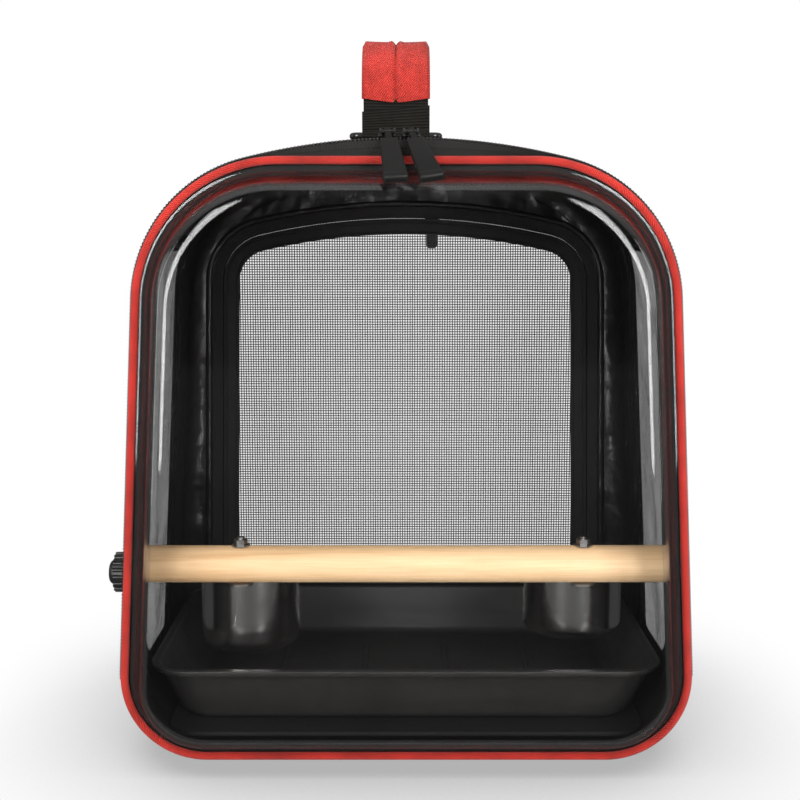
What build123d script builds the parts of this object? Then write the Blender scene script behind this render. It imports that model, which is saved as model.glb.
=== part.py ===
"""Bird travel carrier: a soft fabric body with a zipped, hinged clear dome for a front
door, a zipped mesh door behind, and a perch, two feeding cups and a litter tray inside.

Millimetres. X is to the right, Y to the back, Z up. The origin is the middle of the
flat base. Depths are measured back from the rim plane, which is the middle of the red
piping round the front door.
"""
import math
import os

from build123d import *

# ---------------------------------------------------------------- driving sizes
# Outline of the body, seen from the front
base_half_width = 210.3      # where the two sides would meet the ground
side_lean = 3.2              # degrees, each side leans in towards the top
roof_height = 444.5          # middle of the roof
roof_arch_radius = 465.0
door_top_drop = 11.0         # the door is flat along its top, this far under the roof's arch
top_corner_radius = 104.0
bottom_corner_radius = 62.0

# Depth
body_depth = 262.0           # rim plane to the back
rear_edge_radius = 18.0
fabric = 2.0                 # lined and stiffened body fabric
moving_gap = 0.3             # between pieces that move past each other
seam_high_drop = 56.5        # roof panel to side panel, below the roof
seam_low = 30.0              # side panel to bottom panel
rear_seam_inset = 20.0       # side, roof and bottom panels to back panel, from the back

# Zip round the front
zip_depth = 8.0              # the two rows of teeth meet here
chain_width = 1.9            # one row of teeth
chain_height = 1.6
tape = 0.9                   # thickness of zip tape
body_tape_width = 9.0
zip_low_end = 60.0           # the zip stops at this height on both sides

# Front door
door_inset = 0.5             # piping against the body's outline
piping_radius = 2.9
piping_core_radius = 1.6
dome_depth = 36.0
dome_inset = 10.0            # foot of the dome, in from the piping's outer edge
dome_draft = 20.0            # degrees
dome_edge_radius = 18.0
dome_wall = 1.6
dome_flange = 1.4
binding_width = 8.0
binding = 1.6

# Side windows
window_front = 78.0
window_rear_margin = 78.0    # from the window to the back
window_low = 44.0
window_top_margin = 72.5     # from the window to the roof
window_corner_radius = 22.0
window_band_front = 20.0     # the clear sheet and the trim are cut from a band behind this
window_sheet = 0.8
window_lap = 8.0
trim_width = 9.0
trim = 1.2

# Rear door
rear_side_margin = 42.3      # from the foot of the rear door to the foot of the side
rear_lean = 1.1              # degrees
rear_low = 73.0
rear_top_margin = 50.5       # from the rear door to the roof
rear_arch_radius = 575.0
rear_top_radius = 42.0
rear_bottom_radius = 22.0
rear_tape_width = 11.0
rear_chain_width = 1.8
rear_binding_width = 12.0
rear_zip_end = 92.0
mesh_sheet = 0.7
mesh_strand = 3.0            # the net is drawn coarser than its real 2 mm weave
mesh_columns = 15
mesh_rows = 19

# Floor
board_side_margin = 32.3     # the board's edge, in from the foot of the side
board_front = 14.0
board_back_margin = 10.0
board_corner_radius = 24.0
board = 5.0
board_chamfer = 2.2
tray_side_margin = 20.3      # the tray's rim, in from the foot of the side
tray_flare = 19.0            # its sides lean out by this
tray_front = 29.0
tray_back_margin = 9.0
tray_end_draft = 9.0         # the end walls lean out by this
tray_height = 42.0
tray_wall = 2.0
tray_lip = 5.0
tray_lip_drop = 4.0
tray_corner_radius = 26.0
tray_foot_radius = 6.0
tray_ribs = 4
tray_rib_width = 5.0
tray_rib_height = 1.2
tray_rib_margin = 45.0       # from a rib's end to the tray's end

# Perch and its fixings
perch_radius = 14.0
perch_depth = 56.0
perch_height = 132.0
perch_washer_radius = 10.0
perch_washer = 2.4
stud_radius = 3.0
stud_length = 40.0
screw_drop = 6.4             # the end screws enter the dowel below its middle
knob_radius = 15.2
knob_length = 15.5
knob_flutes = 18
knob_flute_margin = 2.5      # the flutes stop this far from the wall
knob_cap_radius = 9.3
knob_cap_length = 4.5
bolt_head_radius = 11.0
bolt_head = 5.0
running_clearance = 0.05

# Feeding cups
left_cup_margin = 85.3       # from the cup's middle to the foot of the side
right_cup_margin = 76.3
cup_radius = 39.4
left_cup_height = 66.0
right_cup_height = 55.0
cup_wall = 0.9
cup_lip = 1.9                # lip stands out by this
cup_lip_height = 1.6
cup_foot_radius = 8.0
bracket = 1.6
bracket_band = 5.5
bracket_arm = 18.0
bracket_arm_overlap = 1.0    # of the arm into the hoop
cup_gap = 0.6
cup_bolt_radius = 2.5
cup_bolt_head = 1.4
cup_bolt_end = 1.5           # past the nut
cup_nut_radius = 5.2
cup_nut = 4.2
cup_washer_radius = 7.0
cup_washer = 1.2

# Carrying handle
handle_x = -7.5
webbing_width = 46.0
webbing = 3.6                # two layers sewn together
wrap = 2.2
wrap_overhang = 1.5
ring_wire = 2.4              # radius
ring_front_depth = 44.0
ring_back_depth = 56.0
ring_half_width = 31.0
ring_corner_radius = 5.0
anchor_patch = 1.6
anchor_patch_margin = 2.0    # the sewn patch is wider than the webbing on each side
anchor_gap = 1.0             # behind the zip tape
strap_rise = 24.0
handle_crown = 42.0          # radius of the handle's two upper bends
loop_wall = 1.6

# Sliders and their pulls
left_slider_x = -13.0
right_slider_x = 3.0
slider_length = 13.0
slider_plate = 2.2
slider_front_depth = 4.2
slider_back_depth = 12.4
pin_radius = 1.0
pin_length = 11.0
ear = 1.4
pull_lean = 52.0             # degrees, the pulls lie forward over the dome
pull_length = 57.0
pull_neck_width = 4.4
pull_neck_length = 12.0
pull_width = 16.0
pull_thickness = 5.0
pull_eye_radius = 2.2
left_pull_swing = 6.0        # degrees, sideways
right_pull_swing = 20.0
rear_slider_x = 24.0
rear_pull_length = 24.0
rear_pull_width = 10.0
rear_pull_thickness = 2.4

# ---------------------------------------------------------------- derived places
door_height = roof_height - door_top_drop
seam_high = roof_height - seam_high_drop
rear_seam_depth = body_depth - rear_seam_inset
window_back = body_depth - window_rear_margin
window_high = roof_height - window_top_margin
rear_half_width = base_half_width - rear_side_margin
rear_height = roof_height - rear_top_margin
board_half_width = base_half_width - board_side_margin
board_back = body_depth - board_back_margin
tray_top_half_width = base_half_width - tray_side_margin
tray_floor_half_width = tray_top_half_width - tray_flare
tray_back = body_depth - tray_back_margin
left_cup_x = left_cup_margin - base_half_width
right_cup_x = base_half_width - right_cup_margin
screw_height = perch_height - screw_drop
base_middle_depth = (zip_depth + body_depth) / 2
body_front = zip_depth + moving_gap / 2
tape_back = body_front + chain_width + body_tape_width
corner_x = (base_half_width - bottom_corner_radius * math.tan(math.radians(side_lean))
            - bottom_corner_radius / math.cos(math.radians(side_lean)))
board_seat_x = board_half_width - board_chamfer - corner_x
corner_rise = math.sqrt((bottom_corner_radius - fabric) ** 2 - board_seat_x ** 2)
# the board's long edges lie on the curved lower corners
board_seat_gap = 0.1
board_lift = bottom_corner_radius - corner_rise + board_seat_gap
board_top = board_lift + board
perch_bottom = perch_height - perch_radius
cup_depth = perch_depth + perch_radius + cup_gap + cup_radius + cup_lip
ring_height = roof_height + ring_wire + moving_gap + loop_wall + 1.0
strap_top = ring_height + strap_rise
pin_height = roof_height + chain_height + 3.6
pin_depth = 1.4


def place(depth):
    """Y of a depth behind the rim plane."""
    return depth - base_middle_depth


def front_plane(depth):
    """A plane facing the front, with X to the right and its own Y upwards."""
    return Plane(origin=(0, place(depth), 0), x_dir=(1, 0, 0), z_dir=(0, -1, 0))


def leaning_face(half_width, lean, low, top, arch_radius, inset, top_radius, bottom_radius):
    """A flat-footed face with leaning sides, rounded corners and a flat or arched top."""
    slope = math.tan(math.radians(lean))
    side_inset = inset / math.cos(math.radians(lean))
    reach = half_width + low * slope - side_inset      # side line: x = reach - slope * z
    foot = low + inset
    head = top - inset
    if arch_radius:
        # where the side line meets the arch, from the two lines' equations
        centre = top - arch_radius
        radius = arch_radius - inset
        half_b = reach * slope + centre
        constant = reach ** 2 + centre ** 2 - radius ** 2
        root = math.sqrt(half_b ** 2 - (1 + slope ** 2) * constant)
        head = (half_b + root) / (1 + slope ** 2)
    foot_x = reach - slope * foot
    head_x = reach - slope * head
    foot_line = Line((-foot_x, foot), (foot_x, foot))
    right_line = Line((foot_x, foot), (head_x, head))
    left_line = Line((-head_x, head), (-foot_x, foot))
    head_line = Line((head_x, head), (-head_x, head))
    if arch_radius:
        head_line = ThreePointArc((head_x, head), (0, top - inset), (-head_x, head))
    face = make_face([foot_line, right_line, head_line, left_line])
    smallest = 1.0
    face = fillet(face.vertices().sort_by(Axis.Y)[:2], max(bottom_radius - inset, smallest))
    return fillet(face.vertices().sort_by(Axis.Y)[-2:], max(top_radius - inset, smallest))


def body_face(inset=0.0):
    """The body's outline, drawn in by inset."""
    return leaning_face(base_half_width, side_lean, 0.0, roof_height, roof_arch_radius,
                        inset, top_corner_radius, bottom_corner_radius)


def door_face(inset=0.0):
    """The front door's outline, which has a flat top, drawn in by inset."""
    return leaning_face(base_half_width, side_lean, 0.0, door_height, None,
                        door_inset + inset, top_corner_radius, bottom_corner_radius)


def rear_face(inset=0.0):
    """The rear door's outline, drawn in by inset."""
    return leaning_face(rear_half_width, rear_lean, rear_low, rear_height,
                        rear_arch_radius, inset, rear_top_radius, rear_bottom_radius)


def slab(face, front, back):
    """A face given thickness between two depths."""
    return extrude(front_plane(back) * face, amount=back - front)


def ring(outer, inner, front, back):
    """The band between two faces, between two depths."""
    return slab(outer, front, back) - slab(inner, front, back)


def block(x_range, depth_range, z_range):
    """A plain box, used to cut shapes along their seams."""
    size = [high - low for low, high in (x_range, depth_range, z_range)]
    middle = ((x_range[0] + x_range[1]) / 2, place((depth_range[0] + depth_range[1]) / 2),
              (z_range[0] + z_range[1]) / 2)
    return Pos(*middle) * Box(*size)


wide = (-400.0, 400.0)
deep = (-200.0, 500.0)
tall = (-100.0, 800.0)


def across(radius, x_range, depth, height):
    """A round bar lying along X."""
    middle = (x_range[0] + x_range[1]) / 2
    bar = Rotation(0, 90, 0) * Cylinder(radius, x_range[1] - x_range[0])
    return Pos(middle, place(depth), height) * bar


def upright(radius, x, depth, z_range, sides=0):
    """A round or hexagonal bar standing upright."""
    height = z_range[1] - z_range[0]
    if sides:
        bar = extrude(RegularPolygon(radius, sides), amount=height / 2, both=True)
    else:
        bar = Cylinder(radius, height)
    return Pos(x, place(depth), (z_range[0] + z_range[1]) / 2) * bar


# ---------------------------------------------------------------- body fabric
def body_shell():
    """The whole fabric shell: a tube closed at the back, with soft rear edges."""
    outer = slab(body_face(), body_front, body_depth)
    outer = fillet(outer.faces().sort_by(Axis.Y)[-1].edges(), rear_edge_radius)
    inner = slab(body_face(fabric), body_front - 1, body_depth - fabric)
    inner = fillet(inner.faces().sort_by(Axis.Y)[-1].edges(), rear_edge_radius - fabric)
    return outer - inner


def side_opening(margin):
    """The through-cut of one side's window, larger by margin all round."""
    height = window_high - window_low + 2 * margin
    width = window_back - window_front + 2 * margin
    middle_z = (window_high + window_low) / 2
    middle_y = place((window_front + window_back) / 2)
    corner = window_corner_radius + margin
    outline = Plane.YZ * (Pos(middle_y, middle_z) * RectangleRounded(width, height, corner))
    return extrude(outline, amount=base_half_width + 50)


def one_side(solid, side):
    """Keep the half of a solid on one side: -1 left, 1 right."""
    limits = (0.0, wide[1]) if side > 0 else (wide[0], 0.0)
    return solid & block(limits, deep, tall)


def side_window_cut(margin, side):
    cut = side_opening(margin)
    return cut if side > 0 else mirror(cut, about=Plane.YZ)


def body_panels():
    """Roof, sides, bottom and back, cut from one shell along their seams."""
    shell = body_shell()
    walls = shell & block(wide, (0, rear_seam_depth), tall)
    parts = {}
    parts["roof_panel"] = walls & block(wide, deep, (seam_high, tall[1]))
    parts["bottom_panel"] = walls & block(wide, deep, (tall[0], seam_low))
    middle = walls & block(wide, deep, (seam_low, seam_high))
    for name, side in (("left", -1), ("right", 1)):
        panel = one_side(middle, side) - side_window_cut(0, side)
        if side > 0:
            panel -= across(stud_radius + 1, (0, wide[1]), perch_depth, screw_height)
        else:
            panel -= across(stud_radius + 1, (wide[0], 0), perch_depth, screw_height)
        parts[name + "_side_panel"] = panel
    back = shell & block(wide, (rear_seam_depth, deep[1]), tall)
    parts["back_panel"] = back - slab(rear_face(-rear_tape_width), rear_seam_depth, body_depth + 1)
    return parts


def side_windows():
    """Clear sheets sewn behind the side openings, and the trim round each opening."""
    sheet = ring(body_face(fabric), body_face(fabric + window_sheet), window_band_front,
                 rear_seam_depth)
    band = ring(body_face(-trim), body_face(), window_band_front, rear_seam_depth)
    parts = {}
    for name, side in (("left", -1), ("right", 1)):
        parts[name + "_side_window"] = one_side(sheet & side_window_cut(window_lap, side), side)
        frame = (band & side_window_cut(trim_width / 2, side)) - side_window_cut(-trim_width / 2, side)
        parts[name + "_window_trim"] = one_side(frame, side)
    return parts


# ---------------------------------------------------------------- front zip
def above_zip_end(solid):
    return solid & block(wide, deep, (zip_low_end, tall[1]))


def body_zip():
    """The row of teeth and the tape sewn round the body's front edge."""
    teeth = ring(body_face(-chain_height), body_face(), body_front, body_front + chain_width)
    band = ring(body_face(-tape), body_face(), body_front + chain_width, tape_back)
    return {"body_zip_teeth": above_zip_end(teeth), "body_zip_tape": above_zip_end(band)}


def door_skirt(inset):
    """Solid that the door's zip tape wraps: flat-topped at the piping, arched at the zip."""
    shelf = zip_depth - moving_gap / 2 - chain_width
    start = front_plane(piping_radius * 0.5) * door_face(inset)
    end = front_plane(shelf) * body_face(inset)
    slope = loft([start.faces()[0], end.faces()[0]])
    return slope + slab(body_face(inset), shelf, zip_depth - moving_gap / 2)


def door_zip():
    """Tape, teeth and, along the foot, the fabric strip that is the door's hinge."""
    skirt = door_skirt(0.0) - door_skirt(tape)
    skirt -= piping_sweep(piping_radius)
    back = zip_depth - moving_gap / 2
    teeth = ring(body_face(-chain_height), body_face(), back - chain_width, back)
    return {"door_zip_tape": above_zip_end(skirt),
            "door_hinge_strip": skirt & block(wide, deep, (tall[0], zip_low_end)),
            "door_zip_teeth": above_zip_end(teeth)}


# ---------------------------------------------------------------- front door
def piping_sweep(radius):
    """A round cord that follows the door's outline."""
    path = (front_plane(0) * door_face(piping_radius)).faces()[0].outer_wire()
    start = path @ 0
    heading = path % 0
    section = Plane(origin=start, z_dir=heading) * Circle(radius)
    return sweep(section, path=path)


def dome_solid(wall):
    """The dome's outside for wall 0, or the space inside it."""
    foot = door_face(dome_inset + wall)
    depth = dome_depth - wall
    solid = extrude(front_plane(0) * foot, amount=depth, taper=dome_draft)
    front = solid.faces().sort_by(Axis.Y)[0]
    return fillet(front.edges(), dome_edge_radius - wall)


def front_door():
    """Clear dome with a flat flange, bound and piped round its edge."""
    flange_outer = door_face(2 * piping_radius)
    foot_inner = door_face(dome_inset + dome_wall)
    dome = dome_solid(0) - dome_solid(dome_wall)
    dome += ring(flange_outer, foot_inner, 0, dome_flange)
    bound_inner = door_face(2 * piping_radius + binding_width)
    bound = ring(flange_outer, bound_inner, dome_flange, dome_flange + binding)
    cord = piping_sweep(piping_core_radius)
    return {"clear_dome": dome,
            "flange_binding": bound,
            "door_piping": piping_sweep(piping_radius) - cord,
            "piping_core": cord}


# ---------------------------------------------------------------- rear door
def rear_door():
    """Mesh in a bound frame, zipped round three sides and hinged along its foot."""
    face_depth = body_depth - fabric
    half_gap = moving_gap / 2
    above = block(wide, deep, (rear_zip_end, tall[1]))
    below = block(wide, deep, (tall[0], rear_zip_end))
    chain_out = rear_face(-half_gap - rear_chain_width)
    chain_in = rear_face(half_gap + rear_chain_width)
    tape_band = ring(rear_face(-rear_tape_width), chain_out, face_depth, body_depth)
    frame_row = ring(chain_out, rear_face(-half_gap), face_depth, body_depth + tape)
    door_row = ring(rear_face(half_gap), chain_in, face_depth, body_depth + tape)
    hinge = ring(rear_face(-rear_chain_width + half_gap), chain_in, face_depth, body_depth)
    border = rear_face(half_gap + rear_chain_width + rear_binding_width)
    return {"rear_zip_tape": tape_band,
            "rear_frame_teeth": frame_row & above,
            "rear_door_teeth": door_row & above,
            "rear_hinge_strip": hinge & below,
            "rear_door_border": ring(chain_in, border, face_depth, body_depth),
            "rear_mesh": slab(net_face(), face_depth - mesh_sheet, face_depth)}


def net_face():
    """The net as one flat face with a grid of gaps inside the door's border."""
    inset = moving_gap / 2 + rear_chain_width
    lap = rear_face(inset + rear_binding_width / 2)
    bare = rear_face(inset + rear_binding_width + mesh_strand)
    box = bare.bounding_box()
    across_pitch = box.size.X / mesh_columns
    up_pitch = box.size.Y / mesh_rows
    gap = Rectangle(across_pitch - mesh_strand, up_pitch - mesh_strand)
    grid = GridLocations(across_pitch, up_pitch, mesh_columns, mesh_rows)
    gaps = Sketch() + [Pos(0, box.center().Y) * place_one * gap for place_one in grid]
    return lap - (bare & gaps)


# ---------------------------------------------------------------- floor board and tray
def floor_board():
    width = 2 * board_half_width
    length = board_back - board_front
    board_face = RectangleRounded(width, length, board_corner_radius)
    middle_y = place((board_front + board_back) / 2)
    solid = extrude(Pos(0, middle_y, board_lift) * board_face, amount=board)
    return chamfer(solid.faces().sort_by(Axis.Z)[0].edges(), board_chamfer)


def tray_block(grow, floor, top):
    """A solid with the tray's flaring sides, between two heights."""
    slope = (tray_top_half_width - tray_floor_half_width) / tray_height
    end_slope = tray_end_draft / tray_height
    sections = []
    for height in (floor, top):
        rise = height - (board_top + moving_gap)
        half = tray_floor_half_width + rise * slope + grow
        length = tray_back - tray_front - 2 * tray_end_draft + 2 * rise * end_slope + 2 * grow
        face = RectangleRounded(2 * half, length, tray_corner_radius + grow)
        sections.append((Pos(0, place((tray_front + tray_back) / 2), height) * face).faces()[0])
    return loft(sections)


def litter_tray():
    """Flared tray with a turned-down lip and four shallow ribs in its floor."""
    floor = board_top + moving_gap
    top = floor + tray_height
    solid = tray_block(0, floor, top)
    solid = fillet(solid.faces().sort_by(Axis.Z)[0].edges(), tray_foot_radius)
    lip = tray_block(tray_lip, top - tray_lip_drop, top)
    lip -= tray_block(tray_lip - tray_wall, top - tray_lip_drop - 1, top - tray_wall)
    solid += lip
    inside = tray_block(-tray_wall, floor + tray_wall, top + 1)
    solid -= fillet(inside.faces().sort_by(Axis.Z)[0].edges(), tray_foot_radius - tray_wall)
    rib_length = tray_back - tray_front - 2 * tray_rib_margin
    rib_pitch = 2 * tray_floor_half_width / (tray_ribs + 1)
    for number in range(tray_ribs):
        rib_x = (number - (tray_ribs - 1) / 2) * rib_pitch
        rib = Pos(rib_x, place((tray_front + tray_back) / 2),
                  floor + tray_wall + tray_rib_height / 2)
        solid += rib * Box(tray_rib_width, rib_length, tray_rib_height)
    return solid


# ---------------------------------------------------------------- perch
def wall_x(height, inset):
    """Half width of the body's straight side at a height, drawn in by inset."""
    slope = math.radians(side_lean)
    return base_half_width - height * math.tan(slope) - inset / math.cos(slope)


def perch_parts():
    """Dowel, its inner washers, the screwed knob on the left, the bolt on the right."""
    inner = wall_x(screw_height + perch_washer_radius, fabric)
    outer = wall_x(screw_height - knob_radius, 0)
    perch_end = min(inner - perch_washer, wall_x(perch_height + perch_radius, fabric))
    dowel = across(perch_radius, (-perch_end, perch_end), perch_depth, perch_height)
    dowel = chamfer(dowel.edges(), 1.0)
    hole = stud_radius + running_clearance
    for x_range in ((-perch_end, stud_length - perch_end), (perch_end - stud_length, perch_end)):
        dowel -= across(hole, x_range, perch_depth, screw_height)
    for x in (left_cup_x, right_cup_x):
        dowel -= upright(cup_bolt_radius + running_clearance, x, perch_depth,
                         (perch_bottom - 5, perch_height + perch_radius + 5))
    washers = []
    for x_range in ((-inner, -perch_end), (perch_end, inner)):
        washers.append(across(perch_washer_radius, x_range, perch_depth, screw_height)
                       - across(hole, x_range, perch_depth, screw_height))
    seat = outer + moving_gap
    grip = across(knob_radius, (-seat - knob_length, -seat), perch_depth, screw_height)
    flute = knob_radius * 0.11
    for number in range(knob_flutes):
        turn = math.radians(360 / knob_flutes * number)
        grip -= across(flute, (-seat - knob_length - 1, -seat - knob_flute_margin),
                       perch_depth + knob_radius * math.cos(turn),
                       screw_height + knob_radius * math.sin(turn))
    cap = across(knob_cap_radius, (-seat - knob_length - knob_cap_length, -seat - knob_length),
                 perch_depth, screw_height)
    cap = fillet(cap.faces().sort_by(Axis.X)[0].edges(), knob_cap_length * 0.8)
    stud = across(stud_radius, (-seat, stud_length - perch_end - 1), perch_depth, screw_height)
    head = across(bolt_head_radius, (outer, outer + bolt_head), perch_depth, screw_height)
    head = fillet(head.faces().sort_by(Axis.X)[-1].edges(), bolt_head * 0.6)
    bolt = across(stud_radius, (perch_end - stud_length + 1, outer), perch_depth, screw_height)
    return {"perch": dowel, "perch_washers": Compound(washers),
            "perch_knob": grip + cap + stud, "perch_bolt": head + bolt}


# ---------------------------------------------------------------- feeding cups
def feeding_cup(x, cup_height):
    """Drawn steel cup: rolled lip, straight wall, rounded foot."""
    top = perch_bottom + cup_lip_height + moving_gap
    foot = top - cup_height
    lip = cup_radius + cup_lip
    outer = Cylinder(cup_radius, cup_height)
    outer = fillet(outer.faces().sort_by(Axis.Z)[0].edges(), cup_foot_radius)
    inner = Pos(0, 0, cup_wall) * Cylinder(cup_radius - cup_wall, cup_height)
    inner = fillet(inner.faces().sort_by(Axis.Z)[0].edges(), cup_foot_radius - cup_wall)
    rim = Pos(0, 0, (cup_height - cup_lip_height) / 2) * Cylinder(lip, cup_lip_height)
    rim = fillet(rim.edges(), cup_lip_height * 0.45)
    return Pos(x, place(cup_depth), foot + cup_height / 2) * (outer + rim - inner)


def cup_bracket(x):
    """Flat steel hoop under the cup's lip, with an arm bolted up into the perch."""
    low = perch_bottom - bracket
    inner = cup_radius + moving_gap
    hoop = upright(inner + bracket_band, x, cup_depth, (low, perch_bottom))
    arm = block((x - bracket_arm / 2, x + bracket_arm / 2),
                (perch_depth - bracket_arm / 2, cup_depth - inner - bracket_arm_overlap),
                (low, perch_bottom))
    arm = fillet(arm.edges().filter_by(Axis.Z).group_by(Axis.Y)[0], bracket_arm * 0.4)
    solid = hoop + arm - upright(inner, x, cup_depth, (low - 1, perch_bottom + 1))
    return solid - upright(cup_bolt_radius + running_clearance, x, perch_depth,
                           (low - 1, perch_bottom + 1))


def cup_fixings():
    """Hexagon bolts from below, washers and nuts on top of the perch."""
    bolts = []
    nuts = []
    washers = []
    top = perch_height + perch_radius
    low = perch_bottom - bracket
    bore = cup_bolt_radius + running_clearance
    for x in (left_cup_x, right_cup_x):
        shank = upright(cup_bolt_radius, x, perch_depth, (low, top + cup_washer + cup_nut + cup_bolt_end))
        head = upright(cup_nut_radius, x, perch_depth, (low - cup_bolt_head, low), sides=6)
        bolts.append(shank + head)
        seat = top + cup_washer
        nuts.append(upright(cup_nut_radius, x, perch_depth, (seat, seat + cup_nut), sides=6)
                    - upright(bore, x, perch_depth, (seat - 1, seat + cup_nut + 1)))
        washers.append(upright(cup_washer_radius, x, perch_depth, (top, seat))
                       - upright(bore, x, perch_depth, (top - 1, seat + 1)))
    return {"cup_bolts": Compound(bolts), "cup_nuts": Compound(nuts),
            "cup_washers": Compound(washers)}


# ---------------------------------------------------------------- carrying handle
def mirrored_depth(depth):
    """The same place at the other end of the handle."""
    return zip_depth + body_depth - depth


def handle_ring(front, back):
    """Rectangular wire ring lying over the roof."""
    length = abs(back - front)
    middle = Pos(handle_x, place((front + back) / 2), ring_height)
    path = RectangleRounded(2 * ring_half_width, length, ring_corner_radius)
    wire = path.faces()[0].outer_wire()
    section = Plane(origin=wire @ 0, z_dir=wire % 0) * Circle(ring_wire)
    return middle * sweep(section, path=wire)


def half_webbing(width):
    return (handle_x - width / 2, handle_x + width / 2)


def handle_anchor(front, edge):
    """Webbing sewn to the roof and looped round the ring's outer bar."""
    patch = ring(body_face(-anchor_patch), body_face(), min(front, edge), max(front, edge))
    patch &= block(half_webbing(webbing_width + 2 * anchor_patch_margin), deep, (seam_high, tall[1]))
    width = half_webbing(webbing_width)
    loop = across(ring_wire + running_clearance + loop_wall, width, front, ring_height)
    loop -= across(ring_wire + running_clearance, width, front, ring_height)
    gap_floor = roof_height - 0.4
    foot = block(width, (front - 2.6, front + 2.6), (gap_floor, ring_height - ring_wire - 0.8))
    foot -= slab(body_face(), 0, body_depth)
    foot -= across(ring_wire + running_clearance, width, front, ring_height)
    return patch + loop + foot


def strap_leg(depth):
    """Doubled webbing from the ring's inner bar up to the wrapped grip."""
    width = half_webbing(webbing_width)
    eye = ring_wire + moving_gap
    solid = across(eye + loop_wall, width, depth, ring_height)
    solid += block(width, (depth - webbing / 2, depth + webbing / 2),
                   (ring_height, strap_top))
    solid += across(webbing / 2, width, depth, strap_top)
    return solid - across(eye, width, depth, ring_height)


def grip_band(half_thickness, width):
    """The arched part of the handle, as a band of one thickness."""
    foot = strap_top + webbing / 2 + moving_gap
    front = place(ring_back_depth)
    back = place(mirrored_depth(ring_back_depth))
    crown = foot + handle_crown
    first = Line((front, foot), (front, foot + 1))
    bend = RadiusArc((front, foot + 1), (front + handle_crown, crown + 1), handle_crown)
    top = Line((front + handle_crown, crown + 1), (back - handle_crown, crown + 1))
    down = RadiusArc((back - handle_crown, crown + 1), (back, foot + 1), handle_crown)
    last = Line((back, foot + 1), (back, foot))
    path = Wire([first, bend, top, down, last])
    path = Plane.YZ * path
    start = Plane(origin=(0, front, foot), x_dir=(1, 0, 0), z_dir=(0, 0, 1))
    band = sweep(start * Rectangle(width, 2 * half_thickness), path=path)
    return Pos(handle_x, 0, 0) * band


def handle_parts():
    """Two rings, two anchors, two strap legs and the wrapped grip between them."""
    parts = {}
    front, back = ring_front_depth, ring_back_depth
    parts["front_handle_ring"] = handle_ring(front, back)
    parts["rear_handle_ring"] = handle_ring(mirrored_depth(back), mirrored_depth(front))
    edge = tape_back + anchor_gap
    parts["front_handle_anchor"] = handle_anchor(front, edge)
    parts["rear_handle_anchor"] = handle_anchor(mirrored_depth(front), mirrored_depth(edge))
    parts["front_strap"] = strap_leg(back)
    parts["rear_strap"] = strap_leg(mirrored_depth(back))
    core = grip_band(webbing / 2, webbing_width)
    cover = grip_band(webbing / 2 + wrap, webbing_width + 2 * wrap_overhang)
    parts["grip_webbing"] = core
    parts["grip_wrap"] = cover - core
    return parts


# ---------------------------------------------------------------- zip sliders
def slider(x):
    """Slider plate over the zip, with two ears that carry the pull's pin."""
    low = roof_height + chain_height + moving_gap
    half = slider_length / 2
    plate = block((x - half, x + half), (slider_front_depth, slider_back_depth),
                  (low, low + slider_plate))
    plate = fillet(plate.edges().filter_by(Axis.Z), 3.0)
    skid = block((x - half + 2, x + half - 2), (slider_back_depth - 1.6, slider_back_depth),
                 (roof_height + tape + moving_gap, low))
    solid = plate + skid
    for ear_x in (x - pin_length / 2, x + pin_length / 2 - ear):
        cheek = block((ear_x, ear_x + ear), (pin_depth, slider_front_depth + 3.0),
                      (low, pin_height))
        tip = across(pin_radius + 1.0, (ear_x, ear_x + ear), pin_depth, pin_height)
        solid += cheek + tip
    pin = across(pin_radius, (x - pin_length / 2, x + pin_length / 2), pin_depth, pin_height)
    return solid + pin


def hanging_pull(length, width, thickness, neck_width, neck_length, eye_radius, swing=0.0):
    """A pull that hangs down from its eye at the origin, swung sideways by an angle."""
    eye = Rotation(0, 90, 0) * Cylinder(eye_radius, neck_width)
    neck = Pos(0, 0, -neck_length / 2) * Box(neck_width, min(thickness, 2.4), neck_length)
    case_length = length - neck_length + 2
    case_face = RectangleRounded(width, case_length, width * 0.32)
    case = extrude(Plane.XZ * (Pos(0, -length + case_length / 2) * case_face),
                   amount=thickness / 2, both=True)
    case = fillet(case.edges().filter_by(GeomType.LINE, reverse=True), thickness * 0.25)
    bore = Rotation(0, 90, 0) * Cylinder(pin_radius + running_clearance, neck_width + 4)
    return eye + Rotation(0, -swing, 0) * (neck + case) - bore


def front_pull(x, swing):
    """A rubber-cased pull lying forward over the dome."""
    solid = hanging_pull(pull_length, pull_width, pull_thickness, pull_neck_width,
                         pull_neck_length, pull_eye_radius, swing)
    return Pos(x, place(pin_depth), pin_height) * (Rotation(-pull_lean, 0, 0) * solid)


def rear_slider_parts():
    """Slider and small tab on the outside of the rear zip."""
    centre = rear_height - rear_arch_radius
    height = centre + math.sqrt(rear_arch_radius ** 2 - rear_slider_x ** 2)
    low = body_depth + tape + moving_gap
    half = slider_length / 2
    plate = block((rear_slider_x - half, rear_slider_x + half), (low, low + slider_plate),
                  (height - 5, height + 5))
    solid = fillet(plate.edges().filter_by(Axis.Y), 2.5)
    pin_at = low + slider_plate + 1.6
    pin_z = height - 2.0
    for ear_x in (rear_slider_x - pin_length / 2, rear_slider_x + pin_length / 2 - ear):
        solid += block((ear_x, ear_x + ear), (low, pin_at), (pin_z - 1.6, pin_z + 1.6))
        solid += across(1.6, (ear_x, ear_x + ear), pin_at, pin_z)
    span = (rear_slider_x - pin_length / 2, rear_slider_x + pin_length / 2)
    solid += across(pin_radius, span, pin_at, pin_z)
    tab = hanging_pull(rear_pull_length, rear_pull_width, rear_pull_thickness,
                       pull_neck_width, 6.0, 1.55)
    return {"rear_slider": solid,
            "rear_pull": Pos(rear_slider_x, place(pin_at), pin_z) * tab}


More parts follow.
